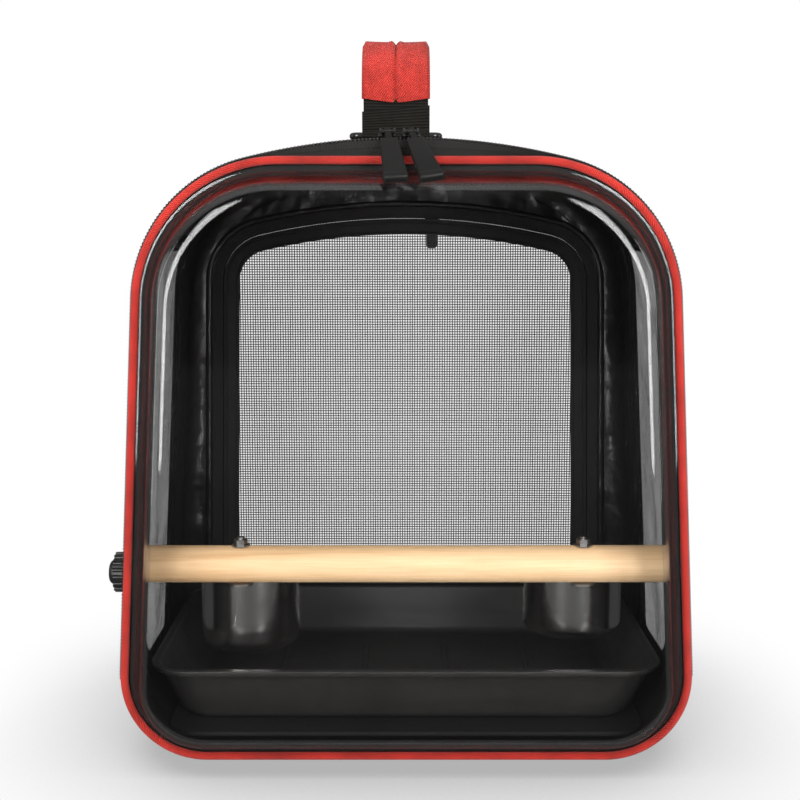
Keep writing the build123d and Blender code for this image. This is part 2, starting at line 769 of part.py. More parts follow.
# ---------------------------------------------------------------- assembly
def all_parts():
    parts = {}
    parts.update(body_panels())
    parts.update(side_windows())
    parts.update(body_zip())
    parts.update(front_door())
    parts.update(door_zip())
    parts.update(rear_door())
    parts.update(perch_parts())
    parts["floor_board"] = floor_board()
    parts["litter_tray"] = litter_tray()
    for name, x, height in (("left", left_cup_x, left_cup_height),
                            ("right", right_cup_x, right_cup_height)):
        parts[name + "_cup"] = feeding_cup(x, height)
        parts[name + "_cup_bracket"] = cup_bracket(x)
    parts.update(cup_fixings())
    parts.update(handle_parts())
    parts["left_slider"] = slider(left_slider_x)
    parts["right_slider"] = slider(right_slider_x)
    parts["left_pull"] = front_pull(left_slider_x, left_pull_swing)
    parts["right_pull"] = front_pull(right_slider_x, right_pull_swing)
    parts.update(rear_slider_parts())
    return parts


os.makedirs("parts", exist_ok=True)
for node, shape in all_parts().items():
    solids = shape.solids()
    export_step(solids[0] if len(solids) == 1 else Compound(solids), f"parts/{node}.step")
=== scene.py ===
# %% [markdown]
# A soft travel carrier for a pet bird. The rigid model is loaded first and never changed:
# it says where every piece is. Each cell below dresses one piece of it, in the order in
# which the carrier is sewn and put together. All lengths are in metres in Blender, but the
# maker of such a bag thinks in millimetres, so the helpers turn millimetres into metres.

# %% Load the frame
import math
import bpy
from mathutils import Matrix, Vector, noise


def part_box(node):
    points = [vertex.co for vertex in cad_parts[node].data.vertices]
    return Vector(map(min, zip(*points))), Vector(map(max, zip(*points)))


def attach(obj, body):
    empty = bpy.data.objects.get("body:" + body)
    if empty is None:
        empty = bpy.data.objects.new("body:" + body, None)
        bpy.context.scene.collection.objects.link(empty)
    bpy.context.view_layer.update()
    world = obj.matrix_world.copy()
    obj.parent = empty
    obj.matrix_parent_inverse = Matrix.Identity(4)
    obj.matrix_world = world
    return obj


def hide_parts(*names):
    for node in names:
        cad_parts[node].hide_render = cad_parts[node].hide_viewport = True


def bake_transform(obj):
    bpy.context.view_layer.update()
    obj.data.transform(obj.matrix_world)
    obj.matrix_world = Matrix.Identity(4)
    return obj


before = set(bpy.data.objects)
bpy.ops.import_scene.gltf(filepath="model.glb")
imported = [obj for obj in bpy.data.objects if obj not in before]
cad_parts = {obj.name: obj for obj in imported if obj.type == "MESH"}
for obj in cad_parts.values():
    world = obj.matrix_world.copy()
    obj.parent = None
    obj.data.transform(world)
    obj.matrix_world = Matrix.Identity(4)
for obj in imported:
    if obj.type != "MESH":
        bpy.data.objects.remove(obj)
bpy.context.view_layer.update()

MM = 0.001
MIDDLE_DEPTH = 135.0      # depths are measured back from the red piping's plane


def spot(x, depth, z):
    """A point from millimetres: to the right, back from the piping, up from the ground."""
    return Vector((x * MM, (depth - MIDDLE_DEPTH) * MM, z * MM))


# %% [markdown]
# Sheets, tapes, cords and tubes all start as one flat grid that already has a UV map. Each
# of its points is then carried to its place on the real surface by a small function. This
# is chosen over moving faces by hand because a bag's outline has long smooth runs, and
# because the UV map can be kept in real metres, so that a weave has the same size on
# every piece.

# %% A grid carried to its place
def deselect():
    bpy.ops.object.select_all(action="DESELECT")


def edit_all(*steps):
    """Run edit-mode operators on the whole of the active mesh."""
    bpy.ops.object.mode_set(mode="EDIT")
    bpy.ops.mesh.select_all(action="SELECT")
    for step, options in steps:
        step(**options)
    bpy.ops.object.mode_set(mode="OBJECT")


def carried_grid(name, columns, rows, carry, size=(1.0, 1.0)):
    """A grid whose point (u, v), both from 0 to 1, goes where carry says."""
    deselect()
    bpy.ops.mesh.primitive_grid_add(x_subdivisions=columns, y_subdivisions=rows, size=2,
                                    location=(0, 0, 0))
    piece = bpy.context.object
    piece.name = name
    piece.data.name = name
    for vertex in piece.data.vertices:
        vertex.co = carry((vertex.co.x + 1) / 2, (vertex.co.y + 1) / 2)
    for corner in piece.data.uv_layers[0].data:
        corner.uv = (corner.uv[0] * size[0], corner.uv[1] * size[1])
    return piece


def swept(name, steps, path, section, length, closed=True):
    """A closed section carried along a path. path(u) gives a point, the way across the
    tape and the way out of its face; the section is a list of (across, out) in mm."""
    count = len(section)
    around = [0.0]
    for number in range(count):
        a, b = section[number], section[(number + 1) % count]
        around.append(around[-1] + math.dist(a, b))

    def carry(u, v):
        point, across, out = path(u)
        a, b = section[round(v * count) % count]
        return point + (across * a + out * b) * MM

    piece = carried_grid(name, steps, count, carry, (length * MM, 1.0))
    for corner in piece.data.uv_layers[0].data:
        corner.uv = (corner.uv[0], around[round(corner.uv[1] * count)] * MM)
    edit_all((bpy.ops.mesh.remove_doubles, {"threshold": 1e-6}))
    if not closed:
        bpy.ops.object.mode_set(mode="EDIT")
        bpy.ops.mesh.select_all(action="DESELECT")
        bpy.ops.mesh.select_non_manifold()
        bpy.ops.mesh.fill_holes(sides=0)
        bpy.ops.object.mode_set(mode="OBJECT")
    edit_all((bpy.ops.mesh.normals_make_consistent, {"inside": False}))
    return piece


def round_section(radius, sides, squash=1.0):
    return [(radius * math.cos(math.tau * n / sides), radius * squash * math.sin(math.tau * n / sides))
            for n in range(sides)]


def tape_section(width, thick, bulge=0.0, across=8, low=0.0):
    """A flat tape's section: its outer face from edge to edge, then its back."""
    half = width / 2
    edge = min(thick * 0.35, half * 0.3)
    outer = [(-half, low + thick * 0.5)]
    for n in range(across + 1):
        s = -1 + 2 * n / across
        outer.append((s * (half - edge), low + thick + bulge * (1 - s * s)))
    outer.append((half, low + thick * 0.5))
    back = [(-s, low) for s in (-(half - edge), 0.0, half - edge)]
    return outer + back


# %% [markdown]
# A real edge is never quite sharp, and a real surface is smooth between its edges. Every
# finished piece gets smooth shading, limited by angle, so that folds and rims stay crisp.
# The same helper says which body the piece moves with, and hides the nodes of the frame that it stands
# for.

# %% Finishing a piece
def add_modifier(piece, kind, **settings):
    deselect()
    piece.select_set(True)
    bpy.context.view_layer.objects.active = piece
    modifier = piece.modifiers.new(kind.title(), kind)
    for label, value in settings.items():
        setattr(modifier, label, value)
    bpy.ops.object.modifier_apply(modifier=modifier.name)


def dressed(piece, body, material, nodes=(), angle=40.0):
    deselect()
    piece.select_set(True)
    bpy.context.view_layer.objects.active = piece
    bpy.ops.object.shade_smooth_by_angle(angle=math.radians(angle))
    piece.data.materials.clear()
    piece.data.materials.append(material)
    if body:
        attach(piece, body)
    if nodes:
        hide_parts(*nodes)
    print(piece.name, len(piece.data.polygons), "faces")
    return piece


def joined(name, parts):
    """Several meshes made one piece."""
    deselect()
    for part in parts:
        part.select_set(True)
    bpy.context.view_layer.objects.active = parts[0]
    bpy.ops.object.join()
    bpy.context.object.name = name
    bpy.context.object.data.name = name
    return bpy.context.object


def settled(piece):
    """Put the object back at the origin, with its place in its mesh."""
    deselect()
    piece.select_set(True)
    bpy.context.view_layer.objects.active = piece
    bpy.ops.object.transform_apply(location=True, rotation=True, scale=True)
    return piece


# %% [markdown]
# The camera stands in front of the carrier, a little above its middle, and looks slightly
# down. Its height and distance were worked out from how the rim, the cups and the tray
# shrink with depth. A 56 mm lens keeps the front outline upright.

# %% Camera
bpy.ops.object.camera_add(location=(-0.0045, -1.001, 0.3793),
                          rotation=(math.radians(82.463), 0, 0))
camera = bpy.context.object
camera.data.lens = 56.1
camera.data.sensor_width = 36.0
camera.data.clip_start = 0.02
bpy.context.scene.camera = camera

# %% [markdown]
# Studio light for a glossy black bag: wide soft lamps from both sides and above give the
# clear dome its long highlights and the steel cups their bright strips. The backdrop is
# white for the camera. What mirrors see is a darker room, paler behind and above, because
# black cloth and a clear dome look milky when they mirror white on all sides.

# %% Light and backdrop
def soft_lamp(name, place, aim, width, height, power):
    direction = Vector(aim) - Vector(place)
    bpy.ops.object.light_add(type="AREA", location=place,
                             rotation=direction.to_track_quat("-Z", "Y").to_euler())
    lamp = bpy.context.object
    lamp.name = name
    lamp.data.shape = "RECTANGLE"
    lamp.data.size = width
    lamp.data.size_y = height
    lamp.data.energy = power
    return lamp


for name, place, aim, width, height, power in (
        ("key_lamp", (-0.7, -1.4, 1.4), (0, 0, 0.2), 0.9, 0.9, 17),
        ("fill_lamp", (0.9, -1.5, 1.2), (0, 0, 0.2), 0.8, 0.8, 12),
        ("top_lamp", (0.0, 0.1, 1.7), (0, 0, 0.2), 1.4, 1.0, 7),
        ("back_lamp", (0.0, 1.6, 1.5), (0, 0, 0.3), 1.6, 1.0, 12)):
    soft_lamp(name, place, aim, width, height, power).visible_glossy = False
soft_lamp("left_strip", (-0.62, -1.3, 0.42), (0, 0, 0.22), 0.30, 1.3, 15)
soft_lamp("right_strip", (0.62, -1.3, 0.42), (0, 0, 0.22), 0.30, 1.3, 15)
soft_lamp("left_edge_light", (-1.3, -0.15, 0.4), (0, 0, 0.25), 0.12, 1.2, 1.6)
soft_lamp("right_edge_light", (1.3, -0.15, 0.4), (0, 0, 0.25), 0.12, 1.2, 2.4)


def value_node(tree, kind, *inputs, **settings):
    """A node with its first inputs given as values or as links."""
    node = tree.nodes.new(kind)
    for label, value in settings.items():
        setattr(node, label, value)
    for number, value in enumerate(inputs):
        if isinstance(value, bpy.types.NodeSocket):
            tree.links.new(value, node.inputs[number])
        elif value is not None:
            node.inputs[number].default_value = value
    return node


def build_studio_world():
    world = bpy.data.worlds.new("studio")
    world.use_nodes = True
    tree = world.node_tree
    rays = tree.nodes.new("ShaderNodeLightPath")
    plain = tree.nodes["Background"]
    plain.inputs["Color"].default_value = (1, 1, 1, 1)
    plain.inputs["Strength"].default_value = 0.30
    white = value_node(tree, "ShaderNodeBackground", (1, 1, 1, 1), 1.0)
    way = value_node(tree, "ShaderNodeSeparateXYZ",
                     tree.nodes.new("ShaderNodeTexCoord").outputs["Generated"])
    behind = value_node(tree, "ShaderNodeMapRange", way.outputs["Y"], 0.2, 0.95, 0.02, 0.24)
    above = value_node(tree, "ShaderNodeMapRange", way.outputs["Z"], 0.3, 1.0, 0.0, 0.25)
    level = value_node(tree, "ShaderNodeMath", behind.outputs[0], above.outputs[0])
    room = value_node(tree, "ShaderNodeBackground", (1, 1, 1, 1), level.outputs[0])
    mirrored = value_node(tree, "ShaderNodeMixShader", rays.outputs["Is Glossy Ray"],
                          plain.outputs[0], room.outputs[0])
    seen = value_node(tree, "ShaderNodeMath", rays.outputs["Is Camera Ray"],
                      rays.outputs["Is Transmission Ray"], operation="MAXIMUM")
    shown = value_node(tree, "ShaderNodeMixShader", seen.outputs[0], mirrored.outputs[0],
                       white.outputs[0])
    tree.links.new(shown.outputs[0], tree.nodes["World Output"].inputs["Surface"])
    return world


bpy.context.scene.world = build_studio_world()
bpy.context.scene.view_settings.view_transform = "Standard"


# %% [markdown]
# The floor is white paper. The camera sees it as a white glow as bright as the backdrop, so
# no horizon shows, and the soft contact shadow under the carrier is painted into that glow
# from ambient occlusion. In mirrors it is a pale grey. Its paper also throws some light up on the
# carrier.

# %% Floor
def build_floor_paper():
    material = bpy.data.materials.new("floor_paper")
    material.use_nodes = True
    tree = material.node_tree
    paper = tree.nodes["Principled BSDF"]
    paper.inputs["Base Color"].default_value = (0.80, 0.80, 0.80, 1)
    paper.inputs["Roughness"].default_value = 0.9
    paper.inputs["Specular IOR Level"].default_value = 0.0
    rays = tree.nodes.new("ShaderNodeLightPath")
    # Painted shadow: for the camera the floor's white glow is darkened by ambient occlusion near the
    # carrier.
    contact = tree.nodes.new("ShaderNodeAmbientOcclusion")
    contact.samples = 12
    contact.inputs["Distance"].default_value = 0.16
    shade = value_node(tree, "ShaderNodeMapRange", contact.outputs["AO"], 0.35, 0.98, 0.45, 1.0)
    glow = value_node(tree, "ShaderNodeEmission", (1, 1, 1, 1), shade.outputs[0])
    dim = value_node(tree, "ShaderNodeEmission", (1, 1, 1, 1), 0.10)
    seen = value_node(tree, "ShaderNodeMath", rays.outputs["Is Camera Ray"],
                      rays.outputs["Is Transmission Ray"], operation="MAXIMUM")
    mirrored = value_node(tree, "ShaderNodeMixShader", rays.outputs["Is Glossy Ray"],
                          paper.outputs[0], dim.outputs[0])
    shown = value_node(tree, "ShaderNodeMixShader", seen.outputs[0], mirrored.outputs[0],
                       glow.outputs[0])
    tree.links.new(shown.outputs[0], tree.nodes["Material Output"].inputs["Surface"])
    return material


bpy.ops.mesh.primitive_plane_add(size=6, location=(0, 0, -0.0005))
floor = bpy.context.object
floor.name = "studio_floor"
floor.data.materials.append(build_floor_paper())


# %% [markdown]
# Patterns that several materials share are built once, as node groups that give out only a
# height, a mask or a tone. Cloth needs three of them: the crossing threads of its weave,
# the soft creases that handling leaves, and rows of stitches.

# %% Helpers for node groups
def math_node(tree, operation, first, second=None, third=None):
    node = tree.nodes.new("ShaderNodeMath")
    node.operation = operation
    for socket, value in zip(node.inputs, (first, second, third)):
        if value is None:
            continue
        if isinstance(value, bpy.types.NodeSocket):
            tree.links.new(value, socket)
        else:
            socket.default_value = value
    return node.outputs[0]


def new_group(name, inputs, outputs):
    group = bpy.data.node_groups.new(name, "ShaderNodeTree")
    for label, kind, value in inputs:
        socket = group.interface.new_socket(label, in_out="INPUT", socket_type=kind)
        if value is not None:
            socket.default_value = value
    for label, kind in outputs:
        group.interface.new_socket(label, in_out="OUTPUT", socket_type=kind)
    return group, group.nodes.new("NodeGroupInput"), group.nodes.new("NodeGroupOutput")


# %% Woven threads
def build_woven_threads():
    """Crossing threads: a plain weave, a slanting twill, or ribs across a tape."""
    group, given, result = new_group("Woven Threads", [
        ("UV", "NodeSocketVector", None), ("Threads", "NodeSocketFloat", 900.0),
        ("Ribs", "NodeSocketFloat", 900.0), ("Slant", "NodeSocketFloat", 0.0)],
        [("Height", "NodeSocketFloat")])
    split = group.nodes.new("ShaderNodeSeparateXYZ")
    group.links.new(given.outputs["UV"], split.inputs[0])
    along = math_node(group, "MULTIPLY", split.outputs[0], given.outputs["Threads"])
    across = math_node(group, "MULTIPLY", split.outputs[1], given.outputs["Ribs"])
    along = math_node(group, "MULTIPLY", along, math.pi)
    across = math_node(group, "MULTIPLY", across, math.pi)
    checker = math_node(group, "MULTIPLY", math_node(group, "SINE", along),
                        math_node(group, "SINE", across))
    slanting = math_node(group, "SINE", math_node(group, "ADD", along, across))
    blend = group.nodes.new("ShaderNodeMix")
    group.links.new(given.outputs["Slant"], blend.inputs["Factor"])
    group.links.new(checker, blend.inputs["A"])
    group.links.new(slanting, blend.inputs["B"])
    height = math_node(group, "MULTIPLY_ADD", blend.outputs["Result"], 0.5, 0.5)
    group.links.new(height, result.inputs["Height"])
    return group


woven_threads = build_woven_threads()


# %% Soft creases, and a tone that follows them: painted shade on cloth, uneven tone elsewhere
def build_soft_creases():
    """Large slow waves and small creases, as a height, and a tone that rises with them: painted shade
    where a cloth bumps by the same height, plain uneven tone elsewhere.
    """
    group, given, result = new_group("Soft Creases", [
        ("Place", "NodeSocketVector", None), ("Size", "NodeSocketFloat", 18.0)],
        [("Height", "NodeSocketFloat"), ("Tone", "NodeSocketFloat")])
    large = group.nodes.new("ShaderNodeTexNoise")
    large.inputs["Detail"].default_value = 1.5
    large.inputs["Distortion"].default_value = 0.6
    small = group.nodes.new("ShaderNodeTexNoise")
    small.inputs["Detail"].default_value = 1.0
    group.links.new(given.outputs["Place"], large.inputs["Vector"])
    group.links.new(given.outputs["Place"], small.inputs["Vector"])
    group.links.new(given.outputs["Size"], large.inputs["Scale"])
    group.links.new(math_node(group, "MULTIPLY", given.outputs["Size"], 4.3),
                    small.inputs["Scale"])
    height = math_node(group, "MULTIPLY_ADD", small.outputs["Fac"], 0.2, large.outputs["Fac"])
    group.links.new(height, result.inputs["Height"])
    # The tone rises and falls with the height, so on cloth it is painted shade, darker in the hollows
    # of the creases; on moulded parts and the net it is only uneven tone.
    shade_and_tone = math_node(group, "MULTIPLY_ADD", small.outputs["Fac"], 0.5,
                     math_node(group, "MULTIPLY_ADD", large.outputs["Fac"], 0.6, 0.45))
    group.links.new(shade_and_tone, result.inputs["Tone"])
    return group


soft_creases = build_soft_creases()


# %% Rows of stitches
def build_stitch_row():
    """A row of stitches at one distance across a tape, as a mask that is also a height."""
    group, given, result = new_group("Stitch Row", [
        ("UV", "NodeSocketVector", None), ("Offset", "NodeSocketFloat", 0.002),
        ("Pitch", "NodeSocketFloat", 0.0032), ("Thread", "NodeSocketFloat", 0.0005)],
        [("Mask", "NodeSocketFloat")])
    split = group.nodes.new("ShaderNodeSeparateXYZ")
    group.links.new(given.outputs["UV"], split.inputs[0])
    away = math_node(group, "ABSOLUTE", math_node(group, "SUBTRACT", split.outputs[1],
                                                  given.outputs["Offset"]))
    across = math_node(group, "SUBTRACT", 1.0,
                       math_node(group, "DIVIDE", away, given.outputs["Thread"]))
    turn = math_node(group, "DIVIDE", split.outputs[0], given.outputs["Pitch"])
    dash = math_node(group, "ABSOLUTE", math_node(group, "SINE",
                                                  math_node(group, "MULTIPLY", turn, math.pi)))
    inside = math_node(group, "MAXIMUM", across, 0.0)
    mask = math_node(group, "MULTIPLY", math_node(group, "POWER", inside, 0.5),
                     math_node(group, "POWER", dash, 0.45))
    group.links.new(mask, result.inputs["Mask"])
    return group


stitch_row = build_stitch_row()


# %% Helpers for materials
class Finish:
    """One material with its Principled shader, ready for its pattern nodes."""

    def __init__(self, name, colour, roughness, **uniform):
        self.material = bpy.data.materials.new(name)
        self.material.use_nodes = True
        self.tree = self.material.node_tree
        self.shader = self.tree.nodes["Principled BSDF"]
        self.colour = colour
        self.shader.inputs["Base Color"].default_value = (*colour, 1)
        self.shader.inputs["Roughness"].default_value = roughness
        for socket, value in uniform.items():
            self.shader.inputs[socket.replace("_", " ")].default_value = value
        self.place = self.tree.nodes.new("ShaderNodeTexCoord")
        self.normal = None

    def group(self, group, vector, **values):
        node = self.tree.nodes.new("ShaderNodeGroup")
        node.node_tree = group
        self.tree.links.new(self.place.outputs[vector], node.inputs[0])
        for socket, value in values.items():
            node.inputs[socket].default_value = value
        return node

    def bump(self, height, distance, strength=1.0):
        node = self.tree.nodes.new("ShaderNodeBump")
        node.inputs["Distance"].default_value = distance
        node.inputs["Strength"].default_value = strength
        self.tree.links.new(height, node.inputs["Height"])
        if self.normal:
            self.tree.links.new(self.normal, node.inputs["Normal"])
        self.normal = node.outputs["Normal"]
        self.tree.links.new(self.normal, self.shader.inputs["Normal"])

    def vary(self, socket, factor, low, high, span=(0.0, 1.0)):
        """Let a plain value change over the surface between two limits."""
        node = self.tree.nodes.new("ShaderNodeMapRange")
        node.inputs["From Min"].default_value = span[0]
        node.inputs["From Max"].default_value = span[1]
        node.inputs["To Min"].default_value = low
        node.inputs["To Max"].default_value = high
        self.tree.links.new(factor, node.inputs["Value"])
        self.tree.links.new(node.outputs["Result"], self.shader.inputs[socket])

    def tint(self, factor, low, high, span=(0.0, 1.0)):
        """Let the colour change over the surface between two colours."""
        node = self.tree.nodes.new("ShaderNodeMapRange")
        node.data_type = "FLOAT_VECTOR"
        node.inputs[7].default_value = (span[0],) * 3
        node.inputs[8].default_value = (span[1],) * 3
        node.inputs[9].default_value = low
        node.inputs[10].default_value = high
        self.tree.links.new(factor, node.inputs[6])
        self.tree.links.new(node.outputs["Vector"], self.shader.inputs["Base Color"])


def darker(colour, share):
    return tuple(channel * share for channel in colour)


# %% [markdown]
# The bag is sewn from black coated nylon: a fine plain weave with a slight shine, so that
# every crease catches the light. The tapes are duller and have slanting ribs. The red
# piping and the grip's wrap are a coarser twill, whose threads can be seen one by one.

# %% Cloth finishes
def cloth(name, colour, roughness, threads, ribs, slant, relief, crease=0.0, size=18.0,
          contrast=0.55, **uniform):
    finish = Finish(name, colour, roughness, **uniform)
    weave = finish.group(woven_threads, "UV", Threads=threads, Ribs=ribs, Slant=slant)
    folds = finish.group(soft_creases, "Object", Size=size)
    if crease:
        finish.bump(folds.outputs["Height"], crease)
    finish.bump(weave.outputs["Height"], relief)
    # Painted shade: the colour is darker in the crease hollows and between the threads and lighter on
    # their crests, following the bumps' own heights.
    shade_and_tone = math_node(finish.tree, "MULTIPLY", folds.outputs["Tone"],
                     math_node(finish.tree, "MULTIPLY_ADD", weave.outputs["Height"], 0.5, 0.75))
    finish.tint(shade_and_tone, darker(colour, contrast), darker(colour, 1.35), (0.55, 1.35))
    finish.vary("Roughness", folds.outputs["Tone"], roughness - 0.08, roughness + 0.10,
                (0.7, 1.3))
    return finish


def sewn(finish, *rows, pitch=0.0032, thread=0.0006):
    """Add rows of stitches to a tape's finish, at distances across it in metres."""
    for offset in rows:
        row = finish.group(stitch_row, "UV", Offset=offset, Pitch=pitch, Thread=thread)
        finish.bump(row.outputs["Mask"], 0.0005)
    return finish.material


nylon = cloth("black_nylon", (0.008, 0.0077, 0.0070), 0.42, 1500, 1500, 0.0, 0.00003,
              crease=0.004, size=14, Specular_IOR_Level=0.35).material
nylon_lining = cloth("nylon_lining", (0.008, 0.0077, 0.0070), 0.33, 1500, 1500, 0.0, 0.00002,
                     crease=0.009, size=18).material
zip_cloth = cloth("zip_tape", (0.012, 0.0115, 0.0105), 0.70, 1100, 1100, 1.0, 0.00022,
                  Specular_IOR_Level=0.25)
zip_tape = sewn(zip_cloth, 0.0065)
trim_tape = sewn(cloth("trim_tape", (0.009, 0.0085, 0.0080), 0.62, 1000, 1400, 0.0, 0.00015,
                       Specular_IOR_Level=0.25), 0.0022, 0.0072)
border_tape = sewn(cloth("border_tape", (0.009, 0.0085, 0.0080), 0.58, 1000, 1400, 0.0,
                         0.00015, Specular_IOR_Level=0.25), 0.0025, 0.0105)
red_piping = cloth("red_piping_cloth", (0.44, 0.024, 0.016), 0.70, 1050, 1050, 1.0, 0.0006,
                   contrast=0.36, Sheen_Weight=0.08, Sheen_Roughness=0.4,
                   Specular_IOR_Level=0.25).material
red_wrap = cloth("red_wrap_cloth", (0.43, 0.030, 0.021), 0.76, 1050, 1050, 1.0, 0.0007,
                 crease=0.0022, size=30, contrast=0.42, Sheen_Weight=0.06,
                 Sheen_Roughness=0.4, Specular_IOR_Level=0.2).material
webbing_cloth = cloth("ribbed_webbing", (0.009, 0.0080, 0.0062), 0.76, 1000, 0, 1.0, 0.0007,
                      crease=0.0006, size=40, contrast=0.4, Specular_IOR_Level=0.2).material
net_thread = Finish("net_thread", (0.012, 0.012, 0.011), 0.6)
net_tone = net_thread.group(soft_creases, "Object", Size=60.0)
net_thread.tint(net_tone.outputs["Tone"], (0.006, 0.006, 0.006), (0.03, 0.03, 0.028),
                (0.7, 1.3))
net_thread = net_thread.material

# %% [markdown]
# The hard pieces: moulded black plastic with a fine grain and a soft shine, rubber that
# is duller, steel that was spun to a satin polish, and clear plastic. Clear plastic is
# mixed from a see-through shader and a glossy one by the Fresnel effect, because a thin
# sheet doesn't bend what lies behind it, and this stays clean in every view.

# %% Hard finishes
def moulded(name, colour, roughness, relief=0.00006, size=900.0, **uniform):
    finish = Finish(name, colour, roughness, **uniform)
    grain = finish.group(soft_creases, "Object", Size=size)
    marks = finish.group(soft_creases, "Object", Size=22.0)
    finish.bump(grain.outputs["Height"], relief)
    finish.tint(marks.outputs["Tone"], darker(colour, 0.8), darker(colour, 1.3), (0.7, 1.3))
    finish.vary("Roughness", marks.outputs["Tone"], roughness - 0.06, roughness + 0.09,
                (0.7, 1.3))
    return finish.material


black_plastic = moulded("black_plastic", (0.010, 0.010, 0.0095), 0.34)
tray_plastic = moulded("tray_plastic", (0.016, 0.0155, 0.0145), 0.40, relief=0.00008)
board_cloth = moulded("floor_board_black", (0.006, 0.006, 0.0055), 0.55)
pull_rubber = moulded("pull_rubber", (0.007, 0.007, 0.0066), 0.46, relief=0.00004,
                      Specular_IOR_Level=0.3)
tooth_nylon = moulded("zip_tooth_nylon", (0.016, 0.016, 0.015), 0.40)
black_metal = moulded("black_metal", (0.015, 0.015, 0.015), 0.22, Metallic=0.0,
                      Coat_Weight=0.5, Coat_Roughness=0.15)


def spun_steel(name, colour, roughness):
    """Satin steel: fine streaks round the axis, from noise stretched flat."""
    finish = Finish(name, colour, roughness, Metallic=1.0)
    stretch = finish.tree.nodes.new("ShaderNodeMapping")
    stretch.inputs["Scale"].default_value = (1.0, 1.0, 90.0)
    finish.tree.links.new(finish.place.outputs["Object"], stretch.inputs["Vector"])
    streaks = finish.tree.nodes.new("ShaderNodeTexNoise")
    streaks.inputs["Scale"].default_value = 30.0
    streaks.inputs["Detail"].default_value = 5.0
    finish.tree.links.new(stretch.outputs[0], streaks.inputs["Vector"])
    finish.vary("Roughness", streaks.outputs["Fac"], roughness - 0.05, roughness + 0.09,
                (0.3, 0.7))
    finish.bump(streaks.outputs["Fac"], 0.00001)
    return finish.material


cup_steel = spun_steel("cup_steel", (0.80, 0.79, 0.77), 0.16)
# Painted shade: the brackets, bolts, nuts and washers get the cups' steel at half its brightness, as
# they sit in the shadow under the perch.
bracket_steel = spun_steel("bracket_steel", (0.40, 0.39, 0.38), 0.32)


def clear_plastic(name, haze, tint, bumpiness, strongest, clearness=0.97):
    """See-through, with a Fresnel gloss and a slight tint towards the edges."""
    finish = Finish(name, tint, 0.05, Specular_IOR_Level=0.5)
    tree = finish.tree
    waves = finish.group(soft_creases, "Object", Size=9.0)
    finish.bump(waves.outputs["Height"], bumpiness)
    see_through = tree.nodes.new("ShaderNodeBsdfTransparent")
    see_through.inputs["Color"].default_value = (clearness, clearness, clearness, 1)
    fresnel = tree.nodes.new("ShaderNodeFresnel")
    fresnel.inputs["IOR"].default_value = 1.36
    tree.links.new(finish.normal, fresnel.inputs["Normal"])
    share = math_node(tree, "MINIMUM", math_node(tree, "ADD", fresnel.outputs[0], haze),
                      strongest)
    mixed = tree.nodes.new("ShaderNodeMixShader")
    tree.links.new(share, mixed.inputs["Fac"])
    tree.links.new(see_through.outputs[0], mixed.inputs[1])
    tree.links.new(finish.shader.outputs[0], mixed.inputs[2])
    tree.links.new(mixed.outputs[0], tree.nodes["Material Output"].inputs["Surface"])
    finish.shader.inputs["Metallic"].default_value = 1.0
    return finish.material


dome_plastic = clear_plastic("clear_dome_plastic", 0.0, (0.95, 0.95, 0.95), 0.00015, 0.34)
window_sheet = clear_plastic("clear_window_sheet", 0.03, (0.80, 0.81, 0.80), 0.008, 0.55, 0.72)


# %% [markdown]
# The perch is a planed length of pale pine. Growth rings are long bands stretched along
# the dowel, with finer fibres between them.

# %% Wood finish
def build_pine():
    finish = Finish("pale_pine", (0.74, 0.50, 0.28), 0.55)
    tree = finish.tree
    stretch = tree.nodes.new("ShaderNodeMapping")
    stretch.inputs["Scale"].default_value = (1.6, 26.0, 26.0)
    tree.links.new(finish.place.outputs["Object"], stretch.inputs["Vector"])
    bands = tree.nodes.new("ShaderNodeTexNoise")
    bands.inputs["Scale"].default_value = 2.2
    bands.inputs["Detail"].default_value = 3.0
    bands.inputs["Distortion"].default_value = 0.5
    tree.links.new(stretch.outputs[0], bands.inputs["Vector"])
    fine = tree.nodes.new("ShaderNodeMapping")
    fine.inputs["Scale"].default_value = (12.0, 420.0, 420.0)
    tree.links.new(finish.place.outputs["Object"], fine.inputs["Vector"])
    fibres = tree.nodes.new("ShaderNodeTexNoise")
    fibres.inputs["Scale"].default_value = 2.0
    fibres.inputs["Detail"].default_value = 4.0
    tree.links.new(fine.outputs[0], fibres.inputs["Vector"])
    grain = math_node(tree, "MULTIPLY_ADD", fibres.outputs["Fac"], 0.35,
                      math_node(tree, "MULTIPLY", bands.outputs["Fac"], 0.75))
    finish.tint(grain, (0.87, 0.61, 0.36), (0.56, 0.33, 0.15), (0.34, 0.78))
    finish.bump(grain, 0.0004)
    finish.vary("Roughness", fibres.outputs["Fac"], 0.48, 0.66, (0.3, 0.7))
    return finish.material


pale_pine = build_pine()


# %% [markdown]
# The bag's outline seen from the front: a flat foot, small lower corners, sides that lean
# in, large upper corners and a roof with a slight arch. The front door has the same
# outline with a flat top, and the rear door is a smaller one. One helper gives any point
# of such an outline and the direction that faces outwards there, so that every tape,
# piping and row of teeth can follow it.

